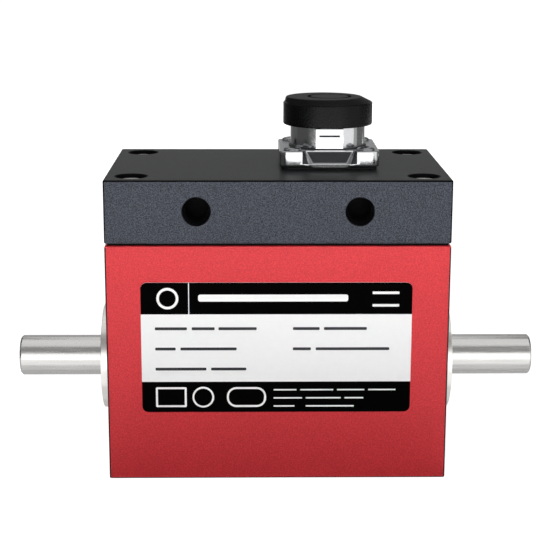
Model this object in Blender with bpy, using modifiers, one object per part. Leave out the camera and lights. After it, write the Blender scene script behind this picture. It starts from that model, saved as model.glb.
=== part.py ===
"""Rotary torque sensor of the slip-ring type, at its real size.

A torsion shaft with bonded strain gauges runs in two ball bearings inside a milled aluminium block.
Slip rings on an insulating sleeve carry the gauge signal to carbon brushes, and a square-flanged
socket with a pull-off dust cap stands on the lid. Metres, +Z up. The origin is the centre of the base,
the shaft runs along X, and the rating label faces -Y.
"""

import math

import bmesh
import bpy
from mathutils import Matrix

# Fits
SEAT_GAP = 0.0001  # between pieces that are fixed to each other
RUNNING_GAP = 0.00025  # between the shaft and what stands still around it
RACE_CLEARANCE = 0.0001  # between a ball and its raceways

# Lower housing, a milled block
BODY_LENGTH = 0.0720
BODY_DEPTH = 0.0460
BASE_HEIGHT = 0.0515
BODY_EDGE = 0.0002
POCKET_END_WALL = 0.0140
POCKET_FLOOR = 0.0060
POCKET_CORNER = 0.0030
BASE_HOLE_CORE = 0.0042
BASE_HOLE_MOUTH = 0.0052
BASE_HOLE_DEPTH = 0.0080
BASE_HOLE_FROM_END = 0.0080
BASE_HOLE_FROM_SIDE = 0.0070

# Lid
LID_HEIGHT = 0.0132
LID_ROOF = 0.0052
FIXING_HOLE_CORE = 0.0050
FIXING_HOLE_MOUTH = 0.0060
FIXING_HOLE_DEPTH = 0.0100
FIXING_HOLE_FLOOR = 0.0020  # left between a hole's end and the lid's cavity
FIXING_HOLE_SPACING = 0.0338
FIXING_HOLE_BELOW_TOP = 0.0065

# Lid screws, socket heads in counterbores
LID_SCREW_DIAMETER = 0.0030
LID_SCREW_LENGTH = 0.0160
LID_SCREW_HEAD = 0.0055
LID_SCREW_HEAD_HEIGHT = 0.0030
LID_SCREW_SOCKET = 0.0025
LID_SCREW_SOCKET_DEPTH = 0.0015
LID_SCREW_SUNK = 0.0006
LID_SCREW_FROM_END = 0.0054
LID_SCREW_FROM_SIDE = 0.0057
COUNTERBORE_GAP = 0.00055  # round a screw's head

# Shaft
SHAFT_HEIGHT = 0.0210
SHAFT_LENGTH = 0.1150
SHAFT_DIAMETER = 0.0090
SHAFT_CHAMFER = 0.0005
SLEEVE_SEAT_STEP = 0.0005  # how far the sleeve's seat stands over the bearing's seat
COLLAR_STEP = 0.0013  # how far the collar stands over the sleeve's seat
COLLAR_WIDTH = 0.0050
TORSION_DIAMETER = 0.0070
TORSION_FILLET = 0.0012
RIGHT_SHOULDER_LENGTH = 0.0030

# Ball bearings
BEARING_WIDTH = 0.0060
BALL_DIAMETER = 0.0032
BALL_COUNT = 7
RACE_WALL = 0.0010  # left in each ring under its raceway
RACE_DEPTH = 0.0006
CAGE_THICKNESS = 0.0007
CAGE_WIDTH = 0.0048
CAGE_POCKET_GAP = 0.0002

# Bearing covers
COVER_OVERLAP = 0.0020  # how far the rim reaches past the bearing
COVER_PROUD = 0.0026
COVER_SPIGOT = 0.0015
COVER_CHAMFER = 0.0004
COVER_RELIEF = 0.0006
SPANNER_HOLE = 0.0020
SPANNER_HOLE_DEPTH = 0.0014
SPANNER_HOLE_FROM_RIM = 0.0035

# Slip rings
SLEEVE_WALL = 0.0012
SLEEVE_END = 0.0013  # how far the sleeve reaches past its last ring
SLIP_RING_COUNT = 4
SLIP_RING_WIDTH = 0.0024
SLIP_RING_WALL = 0.0014
SLIP_RING_SPACING = 0.0040

# Brushes and their holder
BRUSH_WIDTH = 0.0016
BRUSH_HEIGHT = 0.0020
BRUSH_HELD = 0.0030  # length inside the holder
BRUSH_GAP = 0.0002
HOLDER_GAP = 0.0021  # between the slip rings and the holder's wall
HOLDER_WALL = 0.0050
HOLDER_END = 0.0012  # left beside the last brush
HOLDER_RISE = 0.0070  # over the shaft's axis
HOLDER_FOOT_THICKNESS = 0.0026
HOLDER_FOOT_LENGTH = 0.0130
HOLDER_SCREW_DIAMETER = 0.0020
HOLDER_SCREW_HEAD = 0.0036
HOLDER_SCREW_HEAD_HEIGHT = 0.0013
HOLDER_SCREW_GRIP = 0.0040
HOLDER_SCREW_SPACING = 0.0080
HOLDER_SCREW_FROM_TOE = 0.0035

# Strain gauges
GAUGE_LENGTH = 0.0060
GAUGE_ARC = math.radians(56)
GAUGE_THICKNESS = 0.0002

# Socket on the lid
SOCKET_X = 0.0112
SOCKET_Y = 0.0005
GASKET_THICKNESS = 0.0011
GASKET_INSET = 0.0006
FLANGE_MARGIN = 0.0009  # left outside the screws' heads
FLANGE_CORNER = 0.0020
FLANGE_THICKNESS = 0.0028
SHELL_DIAMETER = 0.0163
SHELL_WALL = 0.00155
SHELL_RISE = 0.0090  # over the flange
SHELL_CHAMFER = 0.0003
BARREL_WALL = 0.0007
BARREL_DROP = 0.0072  # under the flange
BARREL_HOLE_GAP = 0.0002
BARREL_LIP = 0.0007
BARREL_LIP_HEIGHT = 0.0010
PAD_WIDTH = 0.0060
PAD_PROUD = 0.0009
PAD_SLOT_WIDTH = 0.0044
PAD_SLOT_HEIGHT = 0.0004
PAD_SLOT_DEPTH = 0.0006
PAD_SLOT_BELOW_TOP = 0.0012
SCOOP_TOP_WIDTH = 0.0115
SCOOP_FLOOR_WIDTH = 0.0086
SCOOP_TOP_DEPTH = 0.0017
SCOOP_FLOOR_DEPTH = 0.0004
SCOOP_LIP = 0.0007

# Flange screws
FLANGE_SCREW_GAP = 0.0011  # between a screw's head and the shell
FLANGE_SCREW_DIAMETER = 0.0024
FLANGE_SCREW_HEAD = 0.0038
FLANGE_SCREW_HEAD_HEIGHT = 0.0007
FLANGE_SCREW_SOCKET = 0.0013
FLANGE_SCREW_SOCKET_DEPTH = 0.0005
FLANGE_SCREW_GRIP = 0.0034

# Contacts
INSERT_HEIGHT = 0.0090
PIN_COUNT = 5
PIN_CIRCLE = 0.0076
PIN_DIAMETER = 0.0015
PIN_TIP = 0.0004
PIN_PROUD = 0.0042
PIN_TAIL = 0.0025

# Dust cap
CAP_WALL = 0.0014
CAP_GAP = 0.0002
CAP_SKIRT = 0.0050  # from the cap's ceiling down to its rim
CAP_ROOF = 0.0010
CAP_STEP_HEIGHT = 0.0011
CAP_STEP_WIDTH = 0.0016
CAP_STEP_OFFSET = 0.0008
CAP_RING_RADIUS = 0.0040
CAP_RING_WIDTH = 0.0004
CAP_RING_DEPTH = 0.0003
CAP_SEAL_THICKNESS = 0.0005

# Rating label
LABEL_WIDTH = 0.0567
LABEL_HEIGHT = 0.0282
LABEL_THICKNESS = 0.0003
LABEL_CORNER = 0.0013
LABEL_ABOVE_BASE = 0.0151
LABEL_OFFSET = -0.0003

# Facets and cutting
SHAFT_STEPS = 28
SOCKET_STEPS = 32
SCREW_STEPS = 16
SMALL_STEPS = 12
BALL_STEPS = 10
RACE_SEGMENTS = 4
FILLET_SEGMENTS = 2
CORNER_SEGMENTS = 4
MERGE_DISTANCE = 0.000001
CUT_MARGIN = 0.0005  # how far a cutter reaches past the face that it opens

# Places in the housing
BODY_END = BODY_LENGTH / 2
BODY_SIDE = BODY_DEPTH / 2
BODY_HEIGHT = BASE_HEIGHT + LID_HEIGHT
POCKET_END = BODY_END - POCKET_END_WALL
LID_SCREW_PLACES = [
    (sx * (BODY_END - LID_SCREW_FROM_END), sy * (BODY_SIDE - LID_SCREW_FROM_SIDE))
    for sx in (-1, 1)
    for sy in (-1, 1)
]
LID_SCREW_HEAD_TOP = BODY_HEIGHT - LID_SCREW_SUNK
LID_SCREW_HEAD_BOTTOM = LID_SCREW_HEAD_TOP - LID_SCREW_HEAD_HEIGHT
LID_SCREW_END = LID_SCREW_HEAD_BOTTOM - LID_SCREW_LENGTH

# Radii around the shaft, and places along it from the block's middle
SHAFT_RADIUS = SHAFT_DIAMETER / 2
BALL_RADIUS = BALL_DIAMETER / 2
INNER_RACE = SHAFT_RADIUS + SEAT_GAP + RACE_WALL
PITCH_RADIUS = INNER_RACE + RACE_CLEARANCE + BALL_RADIUS
OUTER_RACE = PITCH_RADIUS + BALL_RADIUS + RACE_CLEARANCE
INNER_SHOULDER = INNER_RACE + RACE_DEPTH
OUTER_SHOULDER = OUTER_RACE - RACE_DEPTH
BEARING_RADIUS = OUTER_RACE + RACE_WALL
BEARING_OUTER_END = BODY_END - COVER_SPIGOT - SEAT_GAP
BEARING_INNER_END = BEARING_OUTER_END - BEARING_WIDTH
BEARING_MIDDLE = (BEARING_OUTER_END + BEARING_INNER_END) / 2
BEARING_STOP = BEARING_INNER_END - SEAT_GAP
SLEEVE_SEAT_RADIUS = SHAFT_RADIUS + SLEEVE_SEAT_STEP
SLEEVE_RADIUS = SLEEVE_SEAT_RADIUS + SEAT_GAP + SLEEVE_WALL
SLIP_RING_BORE = SLEEVE_RADIUS + SEAT_GAP
SLIP_RING_RADIUS = SLIP_RING_BORE + SLIP_RING_WALL
RING_REACH = (SLIP_RING_COUNT - 1) / 2 * SLIP_RING_SPACING
HOLDER_REACH = RING_REACH + BRUSH_WIDTH / 2 + HOLDER_END
RINGS_MIDDLE = -POCKET_END + POCKET_CORNER + SEAT_GAP + HOLDER_REACH
SLEEVE_REACH = RING_REACH + SLIP_RING_WIDTH / 2 + SLEEVE_END
RING_PLACES = [
    RINGS_MIDDLE - RING_REACH + i * SLIP_RING_SPACING for i in range(SLIP_RING_COUNT)
]
COLLAR_LEFT = RINGS_MIDDLE + SLEEVE_REACH + SEAT_GAP
COLLAR_RIGHT = COLLAR_LEFT + COLLAR_WIDTH
COLLAR_RADIUS = SLEEVE_SEAT_RADIUS + COLLAR_STEP
TORSION_RADIUS = TORSION_DIAMETER / 2
TORSION_END = BEARING_STOP - RIGHT_SHOULDER_LENGTH
TORSION_MIDDLE = (COLLAR_RIGHT + TORSION_END) / 2

# Places of the brush holder, which stands against the pocket's side
HOLDER_FRONT = SLIP_RING_RADIUS + HOLDER_GAP
HOLDER_BACK = HOLDER_FRONT + HOLDER_WALL
POCKET_SIDE = HOLDER_BACK + SEAT_GAP
HOLDER_TOE = HOLDER_BACK - HOLDER_FOOT_LENGTH
HOLDER_BOTTOM = POCKET_FLOOR + SEAT_GAP
HOLDER_FOOT_TOP = HOLDER_BOTTOM + HOLDER_FOOT_THICKNESS
HOLDER_TOP = SHAFT_HEIGHT + HOLDER_RISE
HOLDER_SCREW_PLACES = [
    (RINGS_MIDDLE + side * HOLDER_SCREW_SPACING / 2, HOLDER_TOE + HOLDER_SCREW_FROM_TOE)
    for side in (-1, 1)
]
BRUSH_TIP = SLIP_RING_RADIUS + BRUSH_GAP
BRUSH_TAIL = HOLDER_FRONT + BRUSH_HELD

# Heights over the lid, and radii around the socket's axis
FLANGE_BOTTOM = GASKET_THICKNESS + 2 * SEAT_GAP
FLANGE_TOP = FLANGE_BOTTOM + FLANGE_THICKNESS
SHELL_RADIUS = SHELL_DIAMETER / 2
SHELL_TOP = FLANGE_TOP + SHELL_RISE
BORE_RADIUS = SHELL_RADIUS - SHELL_WALL
BARREL_RADIUS = BORE_RADIUS + BARREL_WALL
BARREL_BOTTOM = FLANGE_BOTTOM - BARREL_DROP
FLANGE_SCREW_REACH = (SHELL_RADIUS + FLANGE_SCREW_GAP + FLANGE_SCREW_HEAD / 2) / math.sqrt(2)
FLANGE_REACH = FLANGE_SCREW_REACH + FLANGE_SCREW_HEAD / 2 + FLANGE_MARGIN
INSERT_BOTTOM = BARREL_BOTTOM + BARREL_LIP_HEIGHT + SEAT_GAP
INSERT_TOP = INSERT_BOTTOM + INSERT_HEIGHT
CAP_BORE_RADIUS = SHELL_RADIUS + CAP_GAP
CAP_RADIUS = CAP_BORE_RADIUS + CAP_WALL
CAP_CEILING = SHELL_TOP + CAP_SEAL_THICKNESS + 2 * SEAT_GAP
CAP_TOP = CAP_CEILING + CAP_ROOF
CAP_SHOULDER = CAP_TOP - CAP_STEP_HEIGHT
CAP_RIM = CAP_CEILING - CAP_SKIRT
PAD_TOP = CAP_RIM - SEAT_GAP
PAD_FRONT = -SHELL_RADIUS - PAD_PROUD
FLANGE_SCREW_PLACES = [
    (sx * FLANGE_SCREW_REACH, sy * FLANGE_SCREW_REACH) for sx in (-1, 1) for sy in (-1, 1)
]
PIN_ANGLES = [2 * math.pi * i / PIN_COUNT for i in range(PIN_COUNT)]
PIN_PLACES = [(PIN_CIRCLE / 2 * math.sin(a), PIN_CIRCLE / 2 * math.cos(a)) for a in PIN_ANGLES]

# Rotations that turn local +Z to another direction
TO_RIGHT = (0, math.pi / 2, 0)
TO_LEFT = (0, -math.pi / 2, 0)
TO_FRONT = (math.pi / 2, 0, 0)
TO_BELOW = (math.pi, 0, 0)


def clear_scene():
    for obj in list(bpy.data.objects):
        bpy.data.objects.remove(obj, do_unlink=True)


def new_collection(name):
    collection = bpy.data.collections.new(name)
    bpy.context.scene.collection.children.link(collection)
    return collection


def new_material(name, colour, roughness, metallic=0.0):
    material = bpy.data.materials.new(name)
    material.use_nodes = True
    material.diffuse_color = (*colour, 1)
    shader = material.node_tree.nodes["Principled BSDF"]
    shader.inputs["Base Color"].default_value = (*colour, 1)
    shader.inputs["Roughness"].default_value = roughness
    shader.inputs["Metallic"].default_value = metallic
    return material


def place(name, mesh, collection, parent, location, rotation):
    obj = bpy.data.objects.new(name, mesh)
    collection.objects.link(obj)
    obj.parent = parent
    obj.location = location
    obj.rotation_euler = rotation
    return obj


def add_axis(name, location, rotation=(0, 0, 0)):
    """An empty that carries the pieces built around one axis, its local Z."""
    return place(name, None, parts, None, location, rotation)


def add_part(name, mesh, material, parent=None, location=(0, 0, 0), rotation=(0, 0, 0)):
    """One piece of the sensor, with its finish."""
    if not mesh.materials:
        mesh.materials.append(material)
    return place(name, mesh, parts, parent, location, rotation)


def cut(part, name, mesh, operation="DIFFERENCE", parent=None, rotation=(0, 0, 0)):
    """Cuts a tool shape from a part, or joins it on."""
    tool = place(name, mesh, cutters, parent, (0, 0, 0), rotation)
    tool.hide_render = True
    tool.display_type = "WIRE"
    boolean = part.modifiers.new(name, "BOOLEAN")
    boolean.operation = operation
    boolean.solver = "EXACT"
    boolean.object = tool
    return tool


def to_mesh(name, shape):
    mesh = bpy.data.meshes.new(name)
    shape.to_mesh(mesh)
    shape.free()
    return mesh


def box_mesh(low, high, corner=0.0):
    """A box between two corners, with its four upright edges rounded where a radius is given."""
    shape = bmesh.new()
    size = [h - l for l, h in zip(low, high)]
    middle = [(l + h) / 2 for l, h in zip(low, high)]
    matrix = Matrix.Translation(middle) @ Matrix.Diagonal((*size, 1))
    bmesh.ops.create_cube(shape, size=1, matrix=matrix)
    if corner:
        upright = [e for e in shape.edges if abs(e.verts[0].co.z - e.verts[1].co.z) > size[2] / 2]
        bmesh.ops.bevel(
            shape,
            geom=upright,
            offset=corner,
            offset_type="OFFSET",
            segments=CORNER_SEGMENTS,
            profile=0.5,
            affect="EDGES",
        )
    return to_mesh("box", shape)


def boxes_mesh(boxes):
    """Several boxes in one mesh, each as its two corners."""
    shape = bmesh.new()
    for low, high in boxes:
        middle = [(l + h) / 2 for l, h in zip(low, high)]
        size = [h - l for l, h in zip(low, high)]
        matrix = Matrix.Translation(middle) @ Matrix.Diagonal((*size, 1))
        bmesh.ops.create_cube(shape, size=1, matrix=matrix)
    return to_mesh("boxes", shape)


def rods_mesh(places, bottom, top, radius, steps, top_radius=None):
    """Upright rods in one mesh, or cones where the top radius differs."""
    shape = bmesh.new()
    for x, y in places:
        bmesh.ops.create_cone(
            shape,
            cap_ends=True,
            segments=steps,
            radius1=radius,
            radius2=radius if top_radius is None else top_radius,
            depth=top - bottom,
            matrix=Matrix.Translation((x, y, (bottom + top) / 2)),
        )
    return to_mesh("rods", shape)


def turned_mesh(points, closed):
    """The profile of a turned piece, as (radius, height) points that run down its outer side."""
    shape = bmesh.new()
    verts = [shape.verts.new((radius, 0, height)) for radius, height in points]
    for start, end in zip(verts, verts[1:] + verts[:1] if closed else verts[1:]):
        shape.edges.new((start, end))
    return to_mesh("profile", shape)


def turn(obj, steps):
    """Turns an object's profile about its local Z."""
    screw = obj.modifiers.new("turned", "SCREW")
    screw.axis = "Z"
    screw.steps = steps
    screw.render_steps = steps
    screw.use_merge_vertices = True
    screw.merge_threshold = MERGE_DISTANCE
    return obj


def add_turned(name, points, material, steps, closed=True, **where):
    """A turned piece: a ring from a closed profile, a solid bar from one that ends on the axis."""
    return turn(add_part(name, turned_mesh(points, closed), material, **where), steps)


def ring_section(inner, outer, bottom, top):
    return [(inner, top), (outer, top), (outer, bottom), (inner, bottom)]


def arc(centre, radius, start, end, segments):
    """Points of an arc from one angle to another, in degrees."""
    angles = [math.radians(start + (end - start) * i / segments) for i in range(segments + 1)]
    return [(centre[0] + radius * math.cos(a), centre[1] + radius * math.sin(a)) for a in angles]


def cut_tapped_holes(part, name, places, face, depth, core, mouth, **where):
    """Blind holes with countersunk mouths. Local +Z points out of the face, which lies at height face."""
    drill = rods_mesh(places, face - depth, face + CUT_MARGIN, core / 2, SCREW_STEPS)
    cut(part, name + "_drill", drill, **where)
    sink = (mouth - core) / 2
    countersink = rods_mesh(
        places, face - sink, face + CUT_MARGIN, core / 2, SCREW_STEPS, mouth / 2 + CUT_MARGIN
    )
    cut(part, name + "_countersink", countersink, **where)


def bevel_edges(part, width):
    edges = part.modifiers.new("edges", "BEVEL")
    edges.width = width
    edges.segments = 1


def add_screw(name, material, parent, location, head, head_height, shank, length, socket, socket_depth):
    """A socket screw with its head's underside at its origin and its shank running down."""
    points = [
        (0, head_height),
        (head / 2, head_height),
        (head / 2, 0),
        (shank / 2, 0),
        (shank / 2, -length),
        (0, -length),
    ]
    screw = add_turned(
        name, points, material, SCREW_STEPS, closed=False, parent=parent, location=location
    )
    hexagon = rods_mesh(
        [(0, 0)],
        head_height - socket_depth,
        head_height + CUT_MARGIN,
        socket / 2 / math.cos(math.pi / 6),
        6,
    )
    cut(screw, name + "_socket", hexagon, parent=screw)
    return screw


def build_lower_housing():
    """The block: a pocket milled from above, bearing bores turned into both ends, tapped holes below."""
    mesh = box_mesh((-BODY_END, -BODY_SIDE, 0), (BODY_END, BODY_SIDE, BASE_HEIGHT))
    block = add_part("lower_housing", mesh, red_anodised)
    bevel_edges(block, BODY_EDGE)
    pocket = box_mesh(
        (-POCKET_END, -POCKET_SIDE, POCKET_FLOOR),
        (POCKET_END, POCKET_SIDE, BASE_HEIGHT + CUT_MARGIN),
        POCKET_CORNER,
    )
    cut(block, "pocket", pocket)
    for side, axis in end_axes.items():
        bore = rods_mesh(
            [(0, 0)], BEARING_STOP, BODY_END + CUT_MARGIN, BEARING_RADIUS + SEAT_GAP, SHAFT_STEPS
        )
        cut(block, side + "_bearing_bore", bore, parent=axis)
    shoulder = rods_mesh(
        [(0, 0)], -BEARING_STOP - CUT_MARGIN, BEARING_STOP + CUT_MARGIN, OUTER_SHOULDER, SHAFT_STEPS
    )
    cut(block, "shoulder_bore", shoulder, parent=shaft_axis)
    screw_holes = rods_mesh(
        LID_SCREW_PLACES,
        LID_SCREW_END - CUT_MARGIN,
        BASE_HEIGHT + CUT_MARGIN,
        LID_SCREW_DIAMETER / 2 + SEAT_GAP,
        SCREW_STEPS,
    )
    cut(block, "lid_screw_threads", screw_holes)
    holder_holes = rods_mesh(
        HOLDER_SCREW_PLACES,
        POCKET_FLOOR - HOLDER_SCREW_GRIP - SEAT_GAP,
        POCKET_FLOOR + CUT_MARGIN,
        HOLDER_SCREW_DIAMETER / 2 + SEAT_GAP,
        SMALL_STEPS,
    )
    cut(block, "holder_screw_threads", holder_holes)
    base_holes = [
        (sx * (BODY_END - BASE_HOLE_FROM_END), sy * (BODY_SIDE - BASE_HOLE_FROM_SIDE))
        for sx in (-1, 1)
        for sy in (-1, 1)
    ]
    cut_tapped_holes(
        block,
        "base_hole",
        base_holes,
        0,
        BASE_HOLE_DEPTH,
        BASE_HOLE_CORE,
        BASE_HOLE_MOUTH,
        rotation=TO_BELOW,
    )


def build_top_housing():
    """The lid: hollowed from below, counterbored for its screws, bored for the socket."""
    bottom = BASE_HEIGHT + SEAT_GAP
    mesh = box_mesh((-BODY_END, -BODY_SIDE, bottom), (BODY_END, BODY_SIDE, BODY_HEIGHT))
    lid = add_part("top_housing", mesh, dark_anodised)
    bevel_edges(lid, BODY_EDGE)
    cavity_side = BODY_SIDE - FIXING_HOLE_DEPTH - FIXING_HOLE_FLOOR
    cavity = box_mesh(
        (-POCKET_END, -cavity_side, bottom - CUT_MARGIN),
        (POCKET_END, cavity_side, BODY_HEIGHT - LID_ROOF),
        POCKET_CORNER,
    )
    cut(lid, "lid_cavity", cavity)
    clearance = rods_mesh(
        LID_SCREW_PLACES,
        bottom - CUT_MARGIN,
        BODY_HEIGHT,
        LID_SCREW_DIAMETER / 2 + RUNNING_GAP,
        SCREW_STEPS,
    )
    cut(lid, "lid_screw_clearance", clearance)
    counterbores = rods_mesh(
        LID_SCREW_PLACES,
        LID_SCREW_HEAD_BOTTOM - SEAT_GAP,
        BODY_HEIGHT + CUT_MARGIN,
        LID_SCREW_HEAD / 2 + COUNTERBORE_GAP,
        SCREW_STEPS,
    )
    cut(lid, "counterbore", counterbores)
    fixing_height = BODY_HEIGHT - FIXING_HOLE_BELOW_TOP
    fixing_holes = [(side * FIXING_HOLE_SPACING / 2, fixing_height) for side in (-1, 1)]
    cut_tapped_holes(
        lid,
        "fixing_hole",
        fixing_holes,
        BODY_SIDE,
        FIXING_HOLE_DEPTH,
        FIXING_HOLE_CORE,
        FIXING_HOLE_MOUTH,
        rotation=TO_FRONT,
    )
    socket_hole = rods_mesh(
        [(0, 0)],
        -LID_HEIGHT - CUT_MARGIN,
        CUT_MARGIN,
        BARREL_RADIUS + BARREL_HOLE_GAP,
        SOCKET_STEPS,
    )
    cut(lid, "socket_hole", socket_hole, parent=socket_axis)
    flange_threads = rods_mesh(
        FLANGE_SCREW_PLACES,
        -FLANGE_SCREW_GRIP - SEAT_GAP,
        CUT_MARGIN,
        FLANGE_SCREW_DIAMETER / 2 + SEAT_GAP,
        SMALL_STEPS,
    )
    cut(lid, "flange_screw_threads", flange_threads, parent=socket_axis)
    for number, (x, y) in enumerate(LID_SCREW_PLACES, 1):
        add_screw(
            f"lid_screw_{number}",
            stainless,
            None,
            (x, y, LID_SCREW_HEAD_BOTTOM),
            LID_SCREW_HEAD,
            LID_SCREW_HEAD_HEIGHT,
            LID_SCREW_DIAMETER,
            LID_SCREW_LENGTH,
            LID_SCREW_SOCKET,
            LID_SCREW_SOCKET_DEPTH,
        )


def build_shaft():
    """The turned shaft, from its right end to its left, necked down where the gauges are bonded."""
    end = SHAFT_LENGTH / 2
    neck = TORSION_RADIUS + TORSION_FILLET
    points = [
        (0, end),
        (SHAFT_RADIUS - SHAFT_CHAMFER, end),
        (SHAFT_RADIUS, end - SHAFT_CHAMFER),
        (SHAFT_RADIUS, BEARING_STOP),
        (INNER_SHOULDER, BEARING_STOP),
        (INNER_SHOULDER, TORSION_END),
        *arc((neck, TORSION_END - TORSION_FILLET), TORSION_FILLET, 90, 180, FILLET_SEGMENTS),
        *arc((neck, COLLAR_RIGHT + TORSION_FILLET), TORSION_FILLET, 180, 270, FILLET_SEGMENTS),
        (COLLAR_RADIUS, COLLAR_RIGHT),
        (COLLAR_RADIUS, COLLAR_LEFT),
        (SLEEVE_SEAT_RADIUS, COLLAR_LEFT),
        (SLEEVE_SEAT_RADIUS, -BEARING_STOP),
        (SHAFT_RADIUS, -BEARING_STOP),
        (SHAFT_RADIUS, SHAFT_CHAMFER - end),
        (SHAFT_RADIUS - SHAFT_CHAMFER, -end),
        (0, -end),
    ]
    add_turned("torque_shaft", points, ground_steel, SHAFT_STEPS, closed=False, parent=shaft_axis)


def gauge_mesh():
    """The curved face of a foil gauge, bonded round the neck of the shaft."""
    shape = bmesh.new()
    bmesh.ops.create_grid(shape, x_segments=5, y_segments=1, size=0.5)
    for vert in shape.verts:
        angle = vert.co.x * GAUGE_ARC
        radius = TORSION_RADIUS + SEAT_GAP
        vert.co = (radius * math.cos(angle), radius * math.sin(angle), vert.co.y * GAUGE_LENGTH)
    bmesh.ops.recalc_face_normals(shape, faces=shape.faces)
    return to_mesh("gauge", shape)


def build_gauges():
    for name, turn_angle in (("front", -math.pi / 2), ("back", math.pi / 2)):
        gauge = add_part(
            "strain_gauge_" + name,
            gauge_mesh(),
            gauge_foil,
            parent=shaft_axis,
            location=(0, 0, TORSION_MIDDLE),
            rotation=(0, 0, turn_angle),
        )
        film = gauge.modifiers.new("film", "SOLIDIFY")
        film.thickness = GAUGE_THICKNESS
        film.offset = 1


def raceway_section(wall, shoulder, race, bottom, top, groove):
    """A bearing ring's section: its plain wall, and a groove that the balls run in."""
    middle = (bottom + top) / 2
    outwards = 1 if wall < race else -1
    centre = race + outwards * groove
    half = math.degrees(math.acos((centre - shoulder) * outwards / groove))
    if outwards > 0:
        curve = arc((centre, middle), groove, 180 - half, 180 + half, RACE_SEGMENTS)
        return [(wall, top), (shoulder, top), *curve, (shoulder, bottom), (wall, bottom)]
    curve = arc((centre, middle), groove, -half, half, RACE_SEGMENTS)
    return [(wall, top), (wall, bottom), (shoulder, bottom), *curve, (shoulder, top)]


def radial_rods_mesh(count, start, end, radius, height):
    """Rods that stand out like spokes, evenly spaced."""
    shape = bmesh.new()
    for i in range(count):
        spoke = Matrix.Rotation(2 * math.pi * i / count, 4, "Z") @ Matrix.Translation(
            ((start + end) / 2, 0, height)
        )
        bmesh.ops.create_cone(
            shape,
            cap_ends=True,
            segments=SMALL_STEPS,
            radius1=radius,
            radius2=radius,
            depth=end - start,
            matrix=spoke @ Matrix.Rotation(math.pi / 2, 4, "Y"),
        )
    return to_mesh("spokes", shape)


def build_bearing(side, axis):
    """A deep-groove ball bearing: two rings, a caged row of balls."""
    groove = BALL_RADIUS + RACE_CLEARANCE
    ends = (BEARING_INNER_END, BEARING_OUTER_END)
    outer = raceway_section(BEARING_RADIUS, OUTER_SHOULDER, OUTER_RACE, *ends, groove)
    add_turned(side + "_bearing_outer_ring", outer, bearing_steel, SHAFT_STEPS, parent=axis)
    inner = raceway_section(SHAFT_RADIUS + SEAT_GAP, INNER_SHOULDER, INNER_RACE, *ends, groove)
    add_turned(side + "_bearing_inner_ring", inner, bearing_steel, SHAFT_STEPS, parent=axis)
    cage_inner = PITCH_RADIUS - CAGE_THICKNESS / 2
    cage_outer = PITCH_RADIUS + CAGE_THICKNESS / 2
    section = ring_section(
        cage_inner, cage_outer, BEARING_MIDDLE - CAGE_WIDTH / 2, BEARING_MIDDLE + CAGE_WIDTH / 2
    )
    cage = add_turned(side + "_bearing_cage", section, cage_brass, SHAFT_STEPS, parent=axis)
    pockets = radial_rods_mesh(
        BALL_COUNT,
        cage_inner - CUT_MARGIN,
        cage_outer + CUT_MARGIN,
        BALL_RADIUS + CAGE_POCKET_GAP,
        BEARING_MIDDLE,
    )
    cut(cage, side + "_cage_pockets", pockets, parent=axis)
    shape = bmesh.new()
    bmesh.ops.create_uvsphere(
        shape, u_segments=BALL_STEPS, v_segments=BALL_STEPS // 2 + 1, radius=BALL_RADIUS
    )
    ball = to_mesh("ball", shape)
    for i in range(BALL_COUNT):
        angle = 2 * math.pi * i / BALL_COUNT
        centre = (PITCH_RADIUS * math.cos(angle), PITCH_RADIUS * math.sin(angle), BEARING_MIDDLE)
        add_part(f"{side}_bearing_ball_{i + 1}", ball, bearing_steel, parent=axis, location=centre)


def build_cover(side, axis):
    """The cover that holds a bearing in its bore, with two holes for a pin spanner."""
    bore = SHAFT_RADIUS + RUNNING_GAP
    rim = BEARING_RADIUS + COVER_OVERLAP
    face = BODY_END + COVER_PROUD
    spigot_end = BODY_END - COVER_SPIGOT
    points = [
        (bore, face),
        (rim - COVER_CHAMFER, face),
        (rim, face - COVER_CHAMFER),
        (rim, BODY_END + SEAT_GAP),
        (BEARING_RADIUS, BODY_END + SEAT_GAP),
        (BEARING_RADIUS, spigot_end),
        (OUTER_SHOULDER, spigot_end),
        (OUTER_SHOULDER, spigot_end + COVER_RELIEF),
        (bore, spigot_end + COVER_RELIEF),
    ]
    cover = add_turned(side + "_bearing_cover", points, turned_aluminium, SHAFT_STEPS, parent=axis)
    reach = rim - SPANNER_HOLE_FROM_RIM
    holes = rods_mesh(
        [(0, -reach), (0, reach)],
        face - SPANNER_HOLE_DEPTH,
        face + CUT_MARGIN,
        SPANNER_HOLE / 2,
        SMALL_STEPS,
    )
    cut(cover, side + "_spanner_holes", holes, parent=axis)


def build_slip_rings():
    """The insulating sleeve on the shaft and the rings on it."""
    bottom = RINGS_MIDDLE - SLEEVE_REACH
    top = RINGS_MIDDLE + SLEEVE_REACH
    section = ring_section(SLEEVE_SEAT_RADIUS + SEAT_GAP, SLEEVE_RADIUS, bottom, top)
    add_turned("slip_ring_sleeve", section, insulating_plastic, SHAFT_STEPS, parent=shaft_axis)
    half = SLIP_RING_WIDTH / 2
    for number, middle in enumerate(RING_PLACES, 1):
        section = ring_section(SLIP_RING_BORE, SLIP_RING_RADIUS, middle - half, middle + half)
        add_turned(f"slip_ring_{number}", section, ring_brass, SHAFT_STEPS, parent=shaft_axis)


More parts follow.
